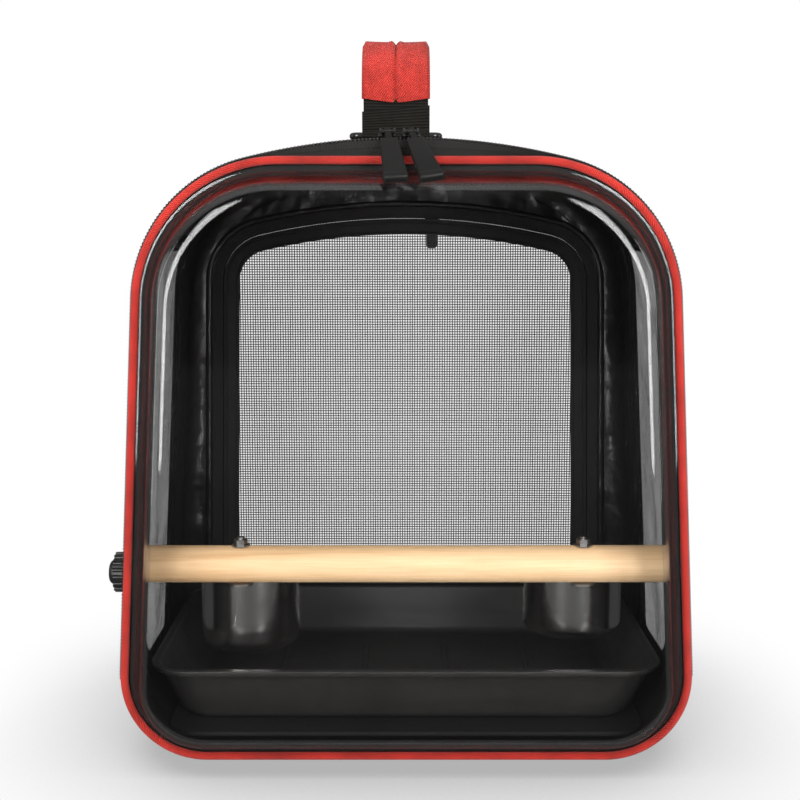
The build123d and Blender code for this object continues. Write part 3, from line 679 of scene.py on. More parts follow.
# %% Outlines
def make_outline(half_width, lean, low, top, arch, top_radius, low_radius, shares=None):
    """outline(t, inset) -> x, z, out_x, out_z in mm, for t once round from the foot."""
    slope, turn = math.tan(math.radians(lean)), math.radians(lean)
    reach = half_width + low * slope
    foot_z = low + low_radius
    foot_x = reach - slope * foot_z - low_radius / math.cos(turn)
    if arch:
        middle = top - arch
        q = reach - top_radius / math.cos(turn)
        half_b = q * slope + middle
        rest = q * q + middle * middle - (arch - top_radius) ** 2
        head_z = (half_b + math.sqrt(half_b ** 2 - (1 + slope ** 2) * rest)) / (1 + slope ** 2)
        head_x = q - slope * head_z
        end = math.atan2(head_z - middle, head_x)
    else:
        head_z = top - top_radius
        head_x = reach - slope * head_z - top_radius / math.cos(turn)
        end = math.pi / 2
    side = math.hypot(head_x + top_radius * math.cos(turn) - foot_x - low_radius * math.cos(turn),
                      head_z + top_radius * math.sin(turn) - foot_z - low_radius * math.sin(turn))
    last = arch * (math.pi / 2 - end) if arch else head_x
    lengths = [foot_x, low_radius * (math.pi / 2 + turn), side, top_radius * (end - turn), last]
    total = sum(lengths)
    shares = shares or [length / total for length in lengths]

    def half(s):
        for number, share in enumerate(shares):
            if s <= share or number == 4:
                break
            s -= share
        f = min(s / share, 1.0)
        if number == 0:
            return foot_x * f, low, -math.pi / 2
        if number == 1:
            angle = -math.pi / 2 + (math.pi / 2 + turn) * f
            return (foot_x + low_radius * math.cos(angle),
                    foot_z + low_radius * math.sin(angle), angle)
        if number == 2:
            x0, z0 = foot_x + low_radius * math.cos(turn), foot_z + low_radius * math.sin(turn)
            x1, z1 = head_x + top_radius * math.cos(turn), head_z + top_radius * math.sin(turn)
            return x0 + (x1 - x0) * f, z0 + (z1 - z0) * f, turn
        if number == 3:
            angle = turn + (end - turn) * f
            return (head_x + top_radius * math.cos(angle),
                    head_z + top_radius * math.sin(angle), angle)
        if arch:
            angle = end + (math.pi / 2 - end) * f
            return arch * math.cos(angle), middle + arch * math.sin(angle), angle
        return head_x * (1 - f), top, math.pi / 2

    def outline(t, inset=0.0):
        t = t % 1.0
        x, z, angle = half(2 * t if t <= 0.5 else 2 * (1 - t))
        out_x, out_z = math.cos(angle), math.sin(angle)
        x, z = x - inset * out_x, z - inset * out_z
        return (x, z, out_x, out_z) if t <= 0.5 else (-x, z, -out_x, out_z)

    outline.length = 2 * total
    outline.shares = shares
    return outline


body_outline = make_outline(210.3, 3.2, 0.0, 444.5, 465.0, 104.0, 62.0)
door_outline = make_outline(210.3, 3.2, 0.0, 433.5, 0.0, 104.0, 62.0, body_outline.shares)
rear_outline = make_outline(168.0, 1.1, 73.0, 394.0, 575.0, 42.0, 22.0)
rear_matched = make_outline(168.0, 1.1, 73.0, 394.0, 575.0, 42.0, 22.0, body_outline.shares)
print("rim length", round(body_outline.length), "mm, rear door", round(rear_outline.length))

DOOR_INSET, PIPING = 0.5, 2.9


def outline_area(outline, inset=0.0):
    """Square metres inside an outline, from its own points."""
    ring = [outline(number / 720, inset)[:2] for number in range(720)]
    twice = sum(ax * bz - bx * az for (ax, az), (bx, bz) in zip(ring, ring[1:] + ring[:1]))
    return abs(twice) / 2 * MM * MM


def height_share(outline, height):
    """How far round the right half an outline first reaches a height."""
    low, high = 0.0, 0.5
    for _ in range(40):
        middle = (low + high) / 2
        if outline(middle)[1] < height:
            low = middle
        else:
            high = middle
    return low


zip_start = height_share(body_outline, 60.0)


def round_path(outline, depth, inset=0.0, start=0.0, end=1.0, face="out"):
    """A path for a tape or cord round an outline. Its face looks out, front or back."""
    def path(u):
        t = start + (end - start) * u
        x, z, out_x, out_z = outline(t, inset)
        out = Vector((out_x, 0, out_z))
        level = Vector((0, 1, 0))
        if face == "out":
            return spot(x, depth, z), level, out
        if face == "front":
            return spot(x, depth, z), out, -level
        return spot(x, depth, z), out, level
    return path


# %% [markdown]
# Fabric is never flat. A slow noise moves the panels in and out by about a millimetre, and
# the movement dies away at seams, at the zip and wherever something is fixed through the
# fabric, because stitches and screws hold it still there.

# %% How far the fabric stands off its pattern
def eased(value, low, high):
    share = min(max((value - low) / (high - low), 0.0), 1.0)
    return share * share * (3 - 2 * share)


def ripple(x, depth, z, size, stretch=(1.0, 1.0, 1.0)):
    return noise.noise(Vector((x * stretch[0], depth * stretch[1], z * stretch[2])) / size)


def window_distance(depth, z):
    """How far a point is outside the side window's opening, in mm."""
    dx = max(abs(depth - 131.0) - (53.0 - 22.0), 0.0)
    dz = max(abs(z - 208.0) - (164.0 - 22.0), 0.0)
    inner = max(abs(depth - 131.0) - 31.0, abs(z - 208.0) - 142.0)
    return math.hypot(dx, dz) - 22.0 if inner > 0 else inner - 22.0


def body_stand_off(x, depth, z):
    """Outward movement of the bag's wall in mm."""
    hold = eased(depth, 10.0, 45.0) * (1 - eased(depth, 226.0, 243.0))
    hold *= eased(z, 2.0, 30.0)
    if abs(x) > 120.0:
        hold *= eased(abs(window_distance(depth, z)), 5.0, 22.0)
        hold *= eased(math.hypot(depth - 56.0, z - 132.0), 18.0, 40.0)
    if z > 400.0 and abs(x + 7.5) < 60.0:
        hold *= 0.25
    return hold * (1.5 * ripple(x, depth, z, 55.0) + 0.7 * ripple(x, depth, z, 19.0))


# %% [markdown]
# The roof, sides and bottom are one sleeve of lined nylon. It is carried round the outline
# from the zip to the rear seam. The side windows are cut out of it by deleting the faces
# inside their outline, and the cut is hidden by the trim, as on the real bag.

# %% Sleeve: roof, sides and bottom
FRONT_EDGE, REAR_SEAM = 8.15, 244.0


def sleeve_point(u, v):
    depth = FRONT_EDGE + (REAR_SEAM - FRONT_EDGE) * v
    x, z, out_x, out_z = body_outline(u)
    move = body_stand_off(x, depth, z)
    return spot(x + out_x * move, depth, max(z + out_z * move, 0.0))


def delete_faces(piece, unwanted):
    deselect()
    bpy.context.view_layer.objects.active = piece
    bpy.ops.object.mode_set(mode="EDIT")
    bpy.ops.mesh.select_all(action="DESELECT")
    bpy.ops.object.mode_set(mode="OBJECT")
    for face in piece.data.polygons:
        face.select = unwanted(face.center / MM)
    bpy.ops.object.mode_set(mode="EDIT")
    bpy.ops.mesh.delete(type="FACE")
    bpy.ops.object.mode_set(mode="OBJECT")


sleeve = carried_grid("body_sleeve", 520, 78, sleeve_point,
                      (body_outline.length * MM, (REAR_SEAM - FRONT_EDGE) * MM))
edit_all((bpy.ops.mesh.remove_doubles, {"threshold": 1e-6}))
delete_faces(sleeve, lambda c: abs(c.x) > 120 and
             window_distance(c.y + MIDDLE_DEPTH, c.z) < 0.0)
edit_all((bpy.ops.mesh.normals_make_consistent, {"inside": False}))
add_modifier(sleeve, "SOLIDIFY", thickness=2.0 * MM, offset=-1.0, use_even_offset=True)
dressed(sleeve, "carrier_body", nylon,
        ("roof_panel", "left_side_panel", "right_side_panel", "bottom_panel"), 50)
WINDOW_HALF_DEPTH, WINDOW_HALF_HEIGHT, WINDOW_RADIUS = 53.0, 164.0, 22.0


# %% [markdown]
# The back panel turns in from the rear seam with a soft edge and runs to the rear door's
# zip. Between the rim and the door the lining is slack, and long upright creases in it
# catch the light, which is what shows through the dome.

# %% Back panel
BACK_DEPTH, EDGE = 262.0, 18.0


def back_surface(u, v, inset, wrinkle):
    """The back panel's skin, from the rear seam (v 0) to the rear door's zip (v 1)."""
    if v < 0.35:
        angle = v / 0.35 * math.pi / 2
        reach = EDGE - inset
        x, z, out_x, out_z = body_outline(u, EDGE - reach * math.cos(angle))
        depth = BACK_DEPTH - EDGE + reach * math.sin(angle)
        return spot(x, depth, z)
    share = (v - 0.35) / 0.65
    x0, z0, _, _ = body_outline(u, EDGE)
    x1, z1, _, _ = rear_matched(u, -11.0)
    x, z = x0 + (x1 - x0) * share, z0 + (z1 - z0) * share
    hold = eased(share, 0.0, 0.15) * (1 - eased(share, 0.8, 1.0))
    move = hold * wrinkle * (1.7 * ripple(x, 0, z, 24.0, (1.6, 1, 0.5)) +
                             0.8 * ripple(x, 40, z, 10.0, (1.3, 1, 0.6)))
    return spot(x, BACK_DEPTH - inset + move, z)


def closed_skin(name, outer, inner, columns, rows, length, width):
    """Two skins, one for each face of a lined panel, joined along their edges."""
    def carry(u, v):
        return outer(u, 2 * v) if v <= 0.5 else inner(u, 2 * (1 - v))
    piece = carried_grid(name, columns, 2 * rows, carry, (length, 2 * width))
    edit_all((bpy.ops.mesh.remove_doubles, {"threshold": 1e-6}))
    bpy.ops.object.mode_set(mode="EDIT")
    bpy.ops.mesh.select_all(action="DESELECT")
    bpy.ops.mesh.select_non_manifold()
    bpy.ops.mesh.bridge_edge_loops()
    bpy.ops.object.mode_set(mode="OBJECT")
    edit_all((bpy.ops.mesh.normals_make_consistent, {"inside": False}))
    return piece


back = closed_skin("back_panel_cover", lambda u, v: back_surface(u, v, 0.0, 0.7),
                   lambda u, v: back_surface(u, v, 2.0, 1.0), 420, 26,
                   body_outline.length * MM, 0.075)
dressed(back, "carrier_body", nylon_lining, ("back_panel",), 50)
# Cut size: the flat part, plus a strip as wide as the soft edge's quarter turn all round it.
EDGE_TURN = EDGE * math.pi / 2
strip_length = body_outline.length - 2 * math.pi * EDGE * (1 - 2 / math.pi)
back_area = (outline_area(body_outline, EDGE) - outline_area(rear_outline, -11.0) +
             strip_length * EDGE_TURN * MM * MM)

# %% [markdown]
# A bag like this is closed along its rear edge with a thin cord in a fold of the same
# nylon. It hides the seam allowance and stiffens the edge. The roof and the bottom panel
# join the sides in a flat felled seam, a narrow raised strip with two rows of stitches.

# %% Rear edge piping and the long seams
rear_piping = swept("rear_edge_piping", 360, round_path(body_outline, 244.0, -0.4),
                    round_section(1.9, 10), body_outline.length)
dressed(rear_piping, "carrier_body", nylon)


def felled_seam(name, height, side):
    t = height_share(body_outline, height)
    t = t if side > 0 else 1 - t
    x, z, out_x, out_z = body_outline(t)
    along = Vector((-out_z, 0, out_x))
    out = Vector((out_x, 0, out_z))

    def path(u):
        depth = 20.0 + (243.0 - 20.0) * u
        move = body_stand_off(x, depth, z)
        return spot(x + out_x * move, depth, z + out_z * move), along, out

    seam = swept(name, 90, path, tape_section(7.0, 0.9, 0.2, 6, -0.3), 223.0, closed=False)
    return dressed(seam, "carrier_body", seam_cloth)


seam_cloth = sewn(cloth("seam_fold", (0.014, 0.0135, 0.0125), 0.42, 1500, 1500, 0.0, 0.00005),
                  0.0018, 0.0062)
for name, height, side in (("roof_seam_left", 388.0, -1), ("roof_seam_right", 388.0, 1),
                           ("floor_seam_left", 30.0, -1), ("floor_seam_right", 30.0, 1)):
    felled_seam(name, height, side)


# %% [markdown]
# Each side has a tall clear window, a sheet of soft vinyl behind the opening. Soft vinyl
# is never flat, so the sheet waves a little, and its reflections break up. A bound tape
# covers the cut edge on the outside and is held by two rows of stitches.

# %% Side windows and their trims
def side_wall(z, side):
    """The bag's side at a height: x in mm, the way out of it and the way up along it."""
    if z not in wall_heights:
        wall_heights[z] = body_outline(height_share(body_outline, z))
    x, _, out_x, out_z = wall_heights[z]
    return side * x, Vector((side * out_x, 0, out_z)), Vector((-side * out_z, 0, out_x))


wall_heights = {}


def window_edge(u, grow):
    """A point round the window's rounded outline, and the direction out of it."""
    half_d, half_z = WINDOW_HALF_DEPTH + grow, WINDOW_HALF_HEIGHT + grow
    radius = WINDOW_RADIUS + grow
    flat_d, flat_z, arc = 2 * (half_d - radius), 2 * (half_z - radius), radius * math.pi / 2
    s = (u % 1.0) * (2 * flat_d + 2 * flat_z + 4 * arc)
    runs = ((flat_z, 0), (arc, 1), (flat_d, 2), (arc, 3), (flat_z, 4), (arc, 5), (flat_d, 6),
            (arc, 7))
    for length, kind in runs:
        if s <= length or kind == 7:
            break
        s -= length
    quarter = kind // 2
    if kind % 2:
        angle = quarter * math.pi / 2 + s / radius
        signs = ((1, 1), (-1, 1), (-1, -1), (1, -1))[quarter]
        return (signs[0] * (half_d - radius) + radius * math.cos(angle),
                signs[1] * (half_z - radius) + radius * math.sin(angle), angle)
    if quarter == 0:
        return half_d, -(half_z - radius) + s, 0.0
    if quarter == 1:
        return (half_d - radius) - s, half_z, math.pi / 2
    if quarter == 2:
        return -half_d, (half_z - radius) - s, math.pi
    return -(half_d - radius) + s, -half_z, -math.pi / 2


def window_pieces(name, side):
    def sheet_point(u, v):
        depth, z = 70.0 + 122.0 * u, 36.0 + 344.0 * v
        x, out, _ = side_wall(z, side)
        hold = eased(-window_distance(depth, z), 0.0, 20.0)
        move = -2.5 - hold * (1.6 + 2.4 * ripple(side * 90, depth, z, 48.0))
        return spot(x, depth, z) + out * move * MM

    sheet = carried_grid(name + "_window_sheet", 40, 110, sheet_point, (0.122, 0.344))
    add_modifier(sheet, "SOLIDIFY", thickness=0.5 * MM, offset=0.0)
    dressed(sheet, "carrier_body", window_sheet, (name + "_side_window",))

    def trim_path(u, lift=0.0, facing=1):
        depth, z, angle = window_edge(u, 0.0)
        x, out, upward = side_wall(z + 208.0, side)
        across = Vector((0, 1, 0)) * math.cos(angle) + upward * math.sin(angle)
        return spot(x, depth + 131.0, z + 208.0) + out * lift * MM, across, out * facing

    trim = swept(name + "_window_binding", 260, trim_path, tape_section(9.4, 1.2, 0.3, 8, -0.1),
                 1002.0)
    dressed(trim, "carrier_body", trim_tape, (name + "_window_trim",))
    lining = swept(name + "_window_inner_binding", 260, lambda u: trim_path(u, -2.0, -1),
                   tape_section(9.4, 0.7, 0.2, 6, -0.1), 1002.0)
    dressed(lining, "carrier_body", trim_tape)


window_pieces("left", -1)
window_pieces("right", 1)

# %% [markdown]
# The zip runs from one lower corner over the roof to the other. Its body half is a tape
# sewn round the bag's front edge, with one row of teeth. The door half is a wider tape
# that climbs from the door's flat top to the roof's arch. Each tooth is modelled once as
# a small block with rounded edges and repeated along both rows.

# %% Zip tapes
ZIP_START, ZIP_END = zip_start, 1 - zip_start
zip_length = body_outline.length * (ZIP_END - ZIP_START)
body_tape = swept("body_zip_band", 420,
                  round_path(body_outline, 14.6, 0.0, ZIP_START, ZIP_END),
                  tape_section(9.2, 0.9, 0.1, 6, -0.05), zip_length, closed=False)
dressed(body_tape, "carrier_body", zip_tape, ("body_zip_tape",))


def skirt_point(u, v, lift, start, end):
    """The door's skirt, from behind the piping (v 0) to the teeth (v 1)."""
    t = start + (end - start) * u
    x0, z0, ox0, oz0 = door_outline(t, DOOR_INSET + 0.6)
    x1, z1, ox1, oz1 = body_outline(t)
    depth = 1.6 + (6.0 - 1.6) * v
    x, z = x0 + (x1 - x0) * v, z0 + (z1 - z0) * v
    ox, oz = ox0 + (ox1 - ox0) * v, oz0 + (oz1 - oz0) * v
    return spot(x + ox * lift, depth, z + oz * lift)


def skirt(name, columns, start, end):
    length = body_outline.length * (end - start) * MM

    def carry(u, v):
        if v <= 0.5:
            return skirt_point(u, 2 * v, 0.1, start, end)
        return skirt_point(u, 2 * (1 - v), -0.8, start, end)

    piece = carried_grid(name, columns, 12, carry, (length, 0.026))
    bpy.ops.object.mode_set(mode="EDIT")
    bpy.ops.mesh.select_all(action="SELECT")
    bpy.ops.mesh.remove_doubles(threshold=1e-6)
    bpy.ops.mesh.select_all(action="DESELECT")
    bpy.ops.mesh.select_non_manifold()
    bpy.ops.mesh.fill_holes(sides=0)
    bpy.ops.object.mode_set(mode="OBJECT")
    edit_all((bpy.ops.mesh.normals_make_consistent, {"inside": False}))
    return piece


door_tape = skirt("door_zip_band", 420, ZIP_START, ZIP_END)
dressed(door_tape, "front_door", zip_tape, ("door_zip_tape",))


# %% One tooth, and rows of teeth
def one_tooth(width, height, thick):
    """A coil tooth: a small block with rounded edges."""
    deselect()
    bpy.ops.mesh.primitive_cube_add(size=1, location=(0, 0, 0))
    tooth = bpy.context.object
    bpy.ops.object.mode_set(mode="EDIT")
    bpy.ops.mesh.select_all(action="SELECT")
    bpy.ops.transform.resize(value=(thick, width, height))
    bpy.ops.mesh.bevel(offset=min(thick, height) * 0.3, segments=1, affect="EDGES")
    bpy.ops.object.mode_set(mode="OBJECT")
    return tooth


def row_of_teeth(name, tooth, frames):
    """Copies of a tooth, each put at a frame (point, along, across, out), in one mesh."""
    corners = [vertex.co.copy() for vertex in tooth.data.vertices]
    loops = [list(face.vertices) for face in tooth.data.polygons]
    points, faces = [], []
    for point, along, across, out in frames:
        first = len(points)
        points += [point + (along * c.x + across * c.y + out * c.z) * MM for c in corners]
        faces += [[first + index for index in loop] for loop in loops]
    mesh = bpy.data.meshes.new(name)
    mesh.from_pydata(points, [], faces)
    row = bpy.data.objects.new(name, mesh)
    bpy.context.collection.objects.link(row)
    edit_row = row
    deselect()
    edit_row.select_set(True)
    bpy.context.view_layer.objects.active = edit_row
    edit_all((bpy.ops.mesh.normals_make_consistent, {"inside": False}))
    return row


def frames_along(path, count, shift=0.0, slant=0.0):
    frames = []
    for number in range(count):
        u = (number + 0.5 + shift) / count
        point, across, out = path(u)
        along = across.cross(out)
        turn_a = along * math.cos(slant) + across * math.sin(slant)
        turn_b = across * math.cos(slant) - along * math.sin(slant)
        frames.append((point, turn_a, turn_b, out))
    return frames


tooth = one_tooth(2.6, 1.7, 1.5)
teeth_count = int(zip_length / 2.6)
body_teeth = row_of_teeth("body_zip_coil", tooth, frames_along(
    round_path(body_outline, 9.2, -0.85, ZIP_START, ZIP_END), teeth_count, 0.0, 0.14))
dressed(body_teeth, "carrier_body", tooth_nylon, ("body_zip_teeth",))
door_teeth = row_of_teeth("door_zip_coil", tooth, frames_along(
    round_path(body_outline, 6.8, -0.85, ZIP_START, ZIP_END), teeth_count, 0.5, -0.14))
dressed(door_teeth, "front_door", tooth_nylon, ("door_zip_teeth",))
print("teeth in each row", teeth_count)


# %% [markdown]
# The door hangs on a strip of the bag's own fabric along its foot, where the zip ends. It
# is one piece of cloth that crosses from the bag to the door.

# %% Foot hinge of the front door
def foot_hinge_point(u, v, lift):
    t = (-ZIP_START + 2 * ZIP_START * u) % 1.0
    x0, z0, ox, oz = door_outline(t, DOOR_INSET + 0.6)
    x1, z1, _, _ = body_outline(t)
    depth = 1.6 + 17.0 * v
    share = min(max((depth - 1.6) / 5.0, 0.0), 1.0)
    x, z = x0 + (x1 - x0) * share, z0 + (z1 - z0) * share
    return spot(x + ox * lift, depth, z + oz * lift)


def foot_hinge():
    def carry(u, v):
        if v <= 0.5:
            return foot_hinge_point(u, 2 * v, 0.35)
        return foot_hinge_point(u, 2 * (1 - v), -0.45)

    piece = carried_grid("door_foot_hinge", 220, 28, carry, (0.56, 0.036))
    bpy.ops.object.mode_set(mode="EDIT")
    bpy.ops.mesh.select_all(action="SELECT")
    bpy.ops.mesh.remove_doubles(threshold=1e-6)
    bpy.ops.mesh.select_all(action="DESELECT")
    bpy.ops.mesh.select_non_manifold()
    bpy.ops.mesh.fill_holes(sides=0)
    bpy.ops.object.mode_set(mode="OBJECT")
    edit_all((bpy.ops.mesh.normals_make_consistent, {"inside": False}))
    return piece


hinge = foot_hinge()
dressed(hinge, None, seam_cloth, ("door_hinge_strip",))
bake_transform(hinge)

# %% [markdown]
# Red piping frames the door: a filler cord wrapped in red twill. A tube of twelve sides is
# carried round the door's outline, and its weave follows the tube's own UV map, so the
# slanting threads run round the cord as they do on bias-cut cloth.

# %% Red piping
piping = swept("red_piping_cord", 760, round_path(door_outline, 0.0, DOOR_INSET + PIPING),
               round_section(PIPING, 14), door_outline.length)
dressed(piping, "front_door", red_piping, ("door_piping", "piping_core"), 60)


# %% [markdown]
# The dome is one sheet of clear plastic, drawn over a mould: a flat flange, a wall that
# leans in, a large soft edge and a front that bulges by a millimetre or so. Its section is
# carried round the door's outline, and the front is closed towards the middle.

# %% Clear dome
def dome_section(wall):
    """Points (inset from the piping's outer edge, depth), from the flange to the front."""
    draft = math.radians(20.0)
    foot, front, radius = 10.0 + wall, -(36.0 - wall), 18.0 - wall
    corner = foot - front * math.tan(draft)
    cut = radius * math.tan(math.radians(35.0))
    start = (corner - cut * math.sin(draft), front + cut * math.cos(draft))
    centre = (start[0] + radius * math.cos(draft), start[1] + radius * math.sin(draft))
    points = [(6.0, -0.1 if not wall else 1.4), (foot - 1.6, -0.1 if not wall else 1.4)]
    points += [(foot, -1.2 if not wall else 0.6)]
    for n in range(1, 9):
        f = n / 8
        points.append((foot + (start[0] - foot) * f, start[1] * f))
    for n in range(1, 15):
        angle = math.pi - draft + (n / 14) * math.radians(70.0)
        points.append((centre[0] + radius * math.cos(angle),
                       centre[1] + radius * math.sin(angle)))
    return points


def dome_skin(wall):
    points = dome_section(wall)
    rows = len(points) - 1
    last = points[-1]
    front_rows = 26

    def carry(u, v):
        number = round(v * (rows + front_rows))
        if number <= rows:
            inset, depth = points[number]
            x, z, _, _ = door_outline(u, DOOR_INSET + inset)
            return spot(x, depth, z)
        share = (number - rows) / front_rows
        x, z, _, _ = door_outline(u, DOOR_INSET + last[0])
        crown = 1.8 * (1 - (1 - share) ** 2)
        return spot(x * (1 - share), last[1] - crown, z + (217.0 - z) * share)

    return carry, rows + front_rows


dome, rows = dome_skin(0.0)
dome_shell = carried_grid("dome_shell", 300, rows, dome)
edit_all((bpy.ops.mesh.remove_doubles, {"threshold": 1e-6}),
         (bpy.ops.mesh.normals_make_consistent, {"inside": False}))
add_modifier(dome_shell, "SOLIDIFY", thickness=1.5 * MM, offset=-1.0)
dressed(dome_shell, "front_door", dome_plastic, ("clear_dome",), 70)

binding = swept("flange_tape", 420, round_path(door_outline, 1.4, DOOR_INSET + 2 * PIPING + 4.0,
                                               face="back"),
                tape_section(8.0, 1.6, 0.1, 6), door_outline.length)
dressed(binding, "front_door", trim_tape, ("flange_binding",))


# %% [markdown]
# The rear door is a net in a bound frame. The net is modelled as it is: single threads,
# one after another, that wave over and under each other and stop under the binding. A
# thread is a flat ribbon with few faces, because there are some three hundred of them.

# %% Rear net
REAR_FACE = 260.0
NET_PITCH, THREAD_WIDTH, THREAD_THICKNESS = 2.25, 0.80, 0.22


def rear_limits_z(x, inset):
    """Lowest and highest z of the rear outline at x, drawn in by inset."""
    inside = []
    for number in range(401):
        px, pz, _, _ = rear_outline(0.5 * number / 400, inset)
        inside.append((px, pz))
    low = min((abs(px - abs(x)), pz) for px, pz in inside if pz < 230)[1]
    high = min((abs(px - abs(x)), pz) for px, pz in inside if pz > 230)[1]
    return low, high


def rear_limit_x(z, inset):
    best = None
    for number in range(401):
        px, pz, _, _ = rear_outline(0.5 * number / 400, inset)
        if best is None or abs(pz - z) < best[0]:
            best = (abs(pz - z), px)
    return best[1]


def net_threads():
    points, faces = [], []
    width = THREAD_WIDTH
    depth = REAR_FACE - 0.6

    def thread(ends, upright, number):
        low, high = ends
        steps = max(int((high - low) / (2 * NET_PITCH)), 2)
        previous = None
        for step in range(steps + 1):
            s = low + (high - low) * step / steps
            wave = 0.16 * (1 if (step + number) % 2 else -1)
            stray = 0.25 * noise.noise(Vector((number * 0.37, s * 0.013, 5.0 if upright else 9.0)))
            here = number * NET_PITCH + stray
            a, b = here - width / 2, here + width / 2
            if upright:
                pair = [spot(a, depth + wave, s), spot(b, depth + wave, s)]
            else:
                pair = [spot(s, depth - wave, a), spot(s, depth - wave, b)]
            first = len(points)
            points.extend(pair)
            if previous is not None:
                faces.append((previous, previous + 1, first + 1, first))
            previous = first

    for number in range(-73, 74):
        x = number * NET_PITCH
        if abs(x) < 162.0:
            thread(rear_limits_z(x, 5.0), True, number)
    for number in range(34, 175):
        z = number * NET_PITCH
        if 79.0 < z < 388.0:
            reach = rear_limit_x(z, 5.0)
            thread((-reach, reach), False, number)
    mesh = bpy.data.meshes.new("rear_net")
    mesh.from_pydata(points, [], faces)
    net = bpy.data.objects.new("rear_net", mesh)
    bpy.context.collection.objects.link(net)
    return net


net = net_threads()
add_modifier(net, "SOLIDIFY", thickness=THREAD_THICKNESS * MM, offset=0.0)
dressed(net, "rear_door", net_thread, ("rear_mesh",))
# The net's area is its threads' alone: two rows of threads cross the whole opening.
thread_area = (2 * outline_area(rear_outline, 5.0) / (NET_PITCH * MM) *
               (THREAD_WIDTH + THREAD_THICKNESS) * MM)

# %% [markdown]
# Round the net runs a folded binding, then the rear zip with its own two rows of teeth.
# On the inside a thicker piped seam follows the zip, which keeps the lining out of the
# teeth. The zip stops near the foot, where a strip of cloth makes the hinge.

# %% Rear door's frame and zip
border = swept("rear_door_binding", 320, round_path(rear_outline, REAR_FACE, 7.1, face="back"),
               tape_section(14.0, 2.0, 0.3, 8, -0.05), rear_outline.length)
dressed(border, "rear_door", border_tape, ("rear_door_border",))
inner_border = swept("rear_door_inner_binding", 320,
                     round_path(rear_outline, REAR_FACE - 0.9, 7.1, face="front"),
                     tape_section(14.0, 0.8, 0.3, 8, -0.05), rear_outline.length)
dressed(inner_border, "rear_door", border_tape)
rear_start = height_share(rear_outline, 92.0)
rear_zip_length = rear_outline.length * (1 - 2 * rear_start)
rear_tape = swept("rear_zip_band", 320, round_path(rear_outline, REAR_FACE, -5.6, face="back"),
                  tape_section(10.8, 2.0, 0.1, 6, -0.05), rear_outline.length)
dressed(rear_tape, "carrier_body", zip_tape, ("rear_zip_tape",))
rear_count = int(rear_zip_length / 2.6)
rear_tooth = one_tooth(2.1, 2.0, 1.5)
frame_teeth = row_of_teeth("rear_frame_coil", rear_tooth, frames_along(
    round_path(rear_outline, 261.9, -1.0, rear_start, 1 - rear_start, "back"), rear_count,
    0.0, 0.14))
dressed(frame_teeth, "carrier_body", tooth_nylon, ("rear_frame_teeth",))
door_row = row_of_teeth("rear_door_coil", rear_tooth, frames_along(
    round_path(rear_outline, 261.9, 1.0, rear_start, 1 - rear_start, "back"), rear_count,
    0.5, -0.14))
dressed(door_row, "rear_door", tooth_nylon, ("rear_door_teeth",))
rear_foot = swept("rear_foot_hinge", 160,
                  round_path(rear_outline, REAR_FACE, 0.2, -rear_start, rear_start, "back"),
                  tape_section(4.6, 1.9, 0.1, 6), rear_outline.length * 2 * rear_start,
                  closed=False)
dressed(rear_foot, "rear_door", seam_cloth, ("rear_hinge_strip",))
seam_cord = swept("rear_lining_piping", 320,
                  round_path(rear_outline, REAR_FACE - 1.4, -13.0),
                  round_section(2.6, 10), rear_outline.length)
dressed(seam_cord, "carrier_body", nylon_lining)


# %% [markdown]
# Turned and drawn pieces, such as the cups, the knob and the washers, are made as on a
# lathe: half of the section is drawn with a few points and spun once round.

# %% Lathe helper
def lathe(name, profile, steps, middle, axis="Z", smooth_ends=True):
    """A closed or open profile of (radius, height) in mm, spun round an axis."""
    def carry(u, v):
        count = len(profile) - 1
        radius, height = profile[round(v * count)]
        angle = math.tau * u
        a, b = radius * math.cos(angle), radius * math.sin(angle)
        offset = {"Z": Vector((a, b, height)), "X": Vector((height, a, b)),
                  "Y": Vector((a, height, b))}[axis]
        return middle + offset * MM

    widest = max(radius for radius, _ in profile)
    run = sum(math.dist(profile[n], profile[n + 1]) for n in range(len(profile) - 1))
    piece = carried_grid(name, steps, len(profile) - 1, carry,
                         (math.tau * widest * MM, run * MM))
    edit_all((bpy.ops.mesh.remove_doubles, {"threshold": 1e-6}),
             (bpy.ops.mesh.normals_make_consistent, {"inside": False}))
    return piece


def arc_points(centre, radius, start, end, count):
    return [(centre[0] + radius * math.cos(math.radians(start + (end - start) * n / count)),
             centre[1] + radius * math.sin(math.radians(start + (end - start) * n / count)))
            for n in range(count + 1)]


# %% [markdown]
# The two feeding cups are drawn from steel sheet: a flat foot with a rounded edge, a
# straight wall and a lip rolled outwards, by which the cup hangs in its hoop.

# %% Feeding cups
CUP_DEPTH, CUP_TOP = 111.9, 119.9


def feeding_cup(name, x, height):
    outside = [(0.0, 0.0)] + arc_points((31.4, 8.0), 8.0, -90, 0, 8)
    outside += [(39.4, 20.0), (39.4, height - 15.0), (39.4, height - 2.4)]
    lip = arc_points((40.4, height - 1.1), 1.2, -100, 150, 10)
    inside = [(38.5, height - 3.0), (38.5, height - 15.0), (38.5, 20.0)]
    inside += arc_points((31.4, 8.0), 7.1, 0, -90, 8) + [(0.0, 0.9)]
    cup = lathe(name + "_steel_cup", outside + lip + inside, 96,
                spot(x, CUP_DEPTH, CUP_TOP - height))
    dressed(cup, name + "_cup", cup_steel, (name + "_cup",), 45)


feeding_cup("left", -125.0, 66.0)
feeding_cup("right", 134.0, 55.0)

# %% [markdown]
# The perch is a planed dowel with a slight chamfer at its ends. A real one is not quite
# even, so its surface moves in and out by a fraction of a millimetre along the grain.

# %% Perch
PERCH_DEPTH, PERCH_HEIGHT, PERCH_RADIUS = 56.0, 132.0, 14.0
perch_low, perch_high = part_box("perch")
PERCH_END = perch_high.x / MM


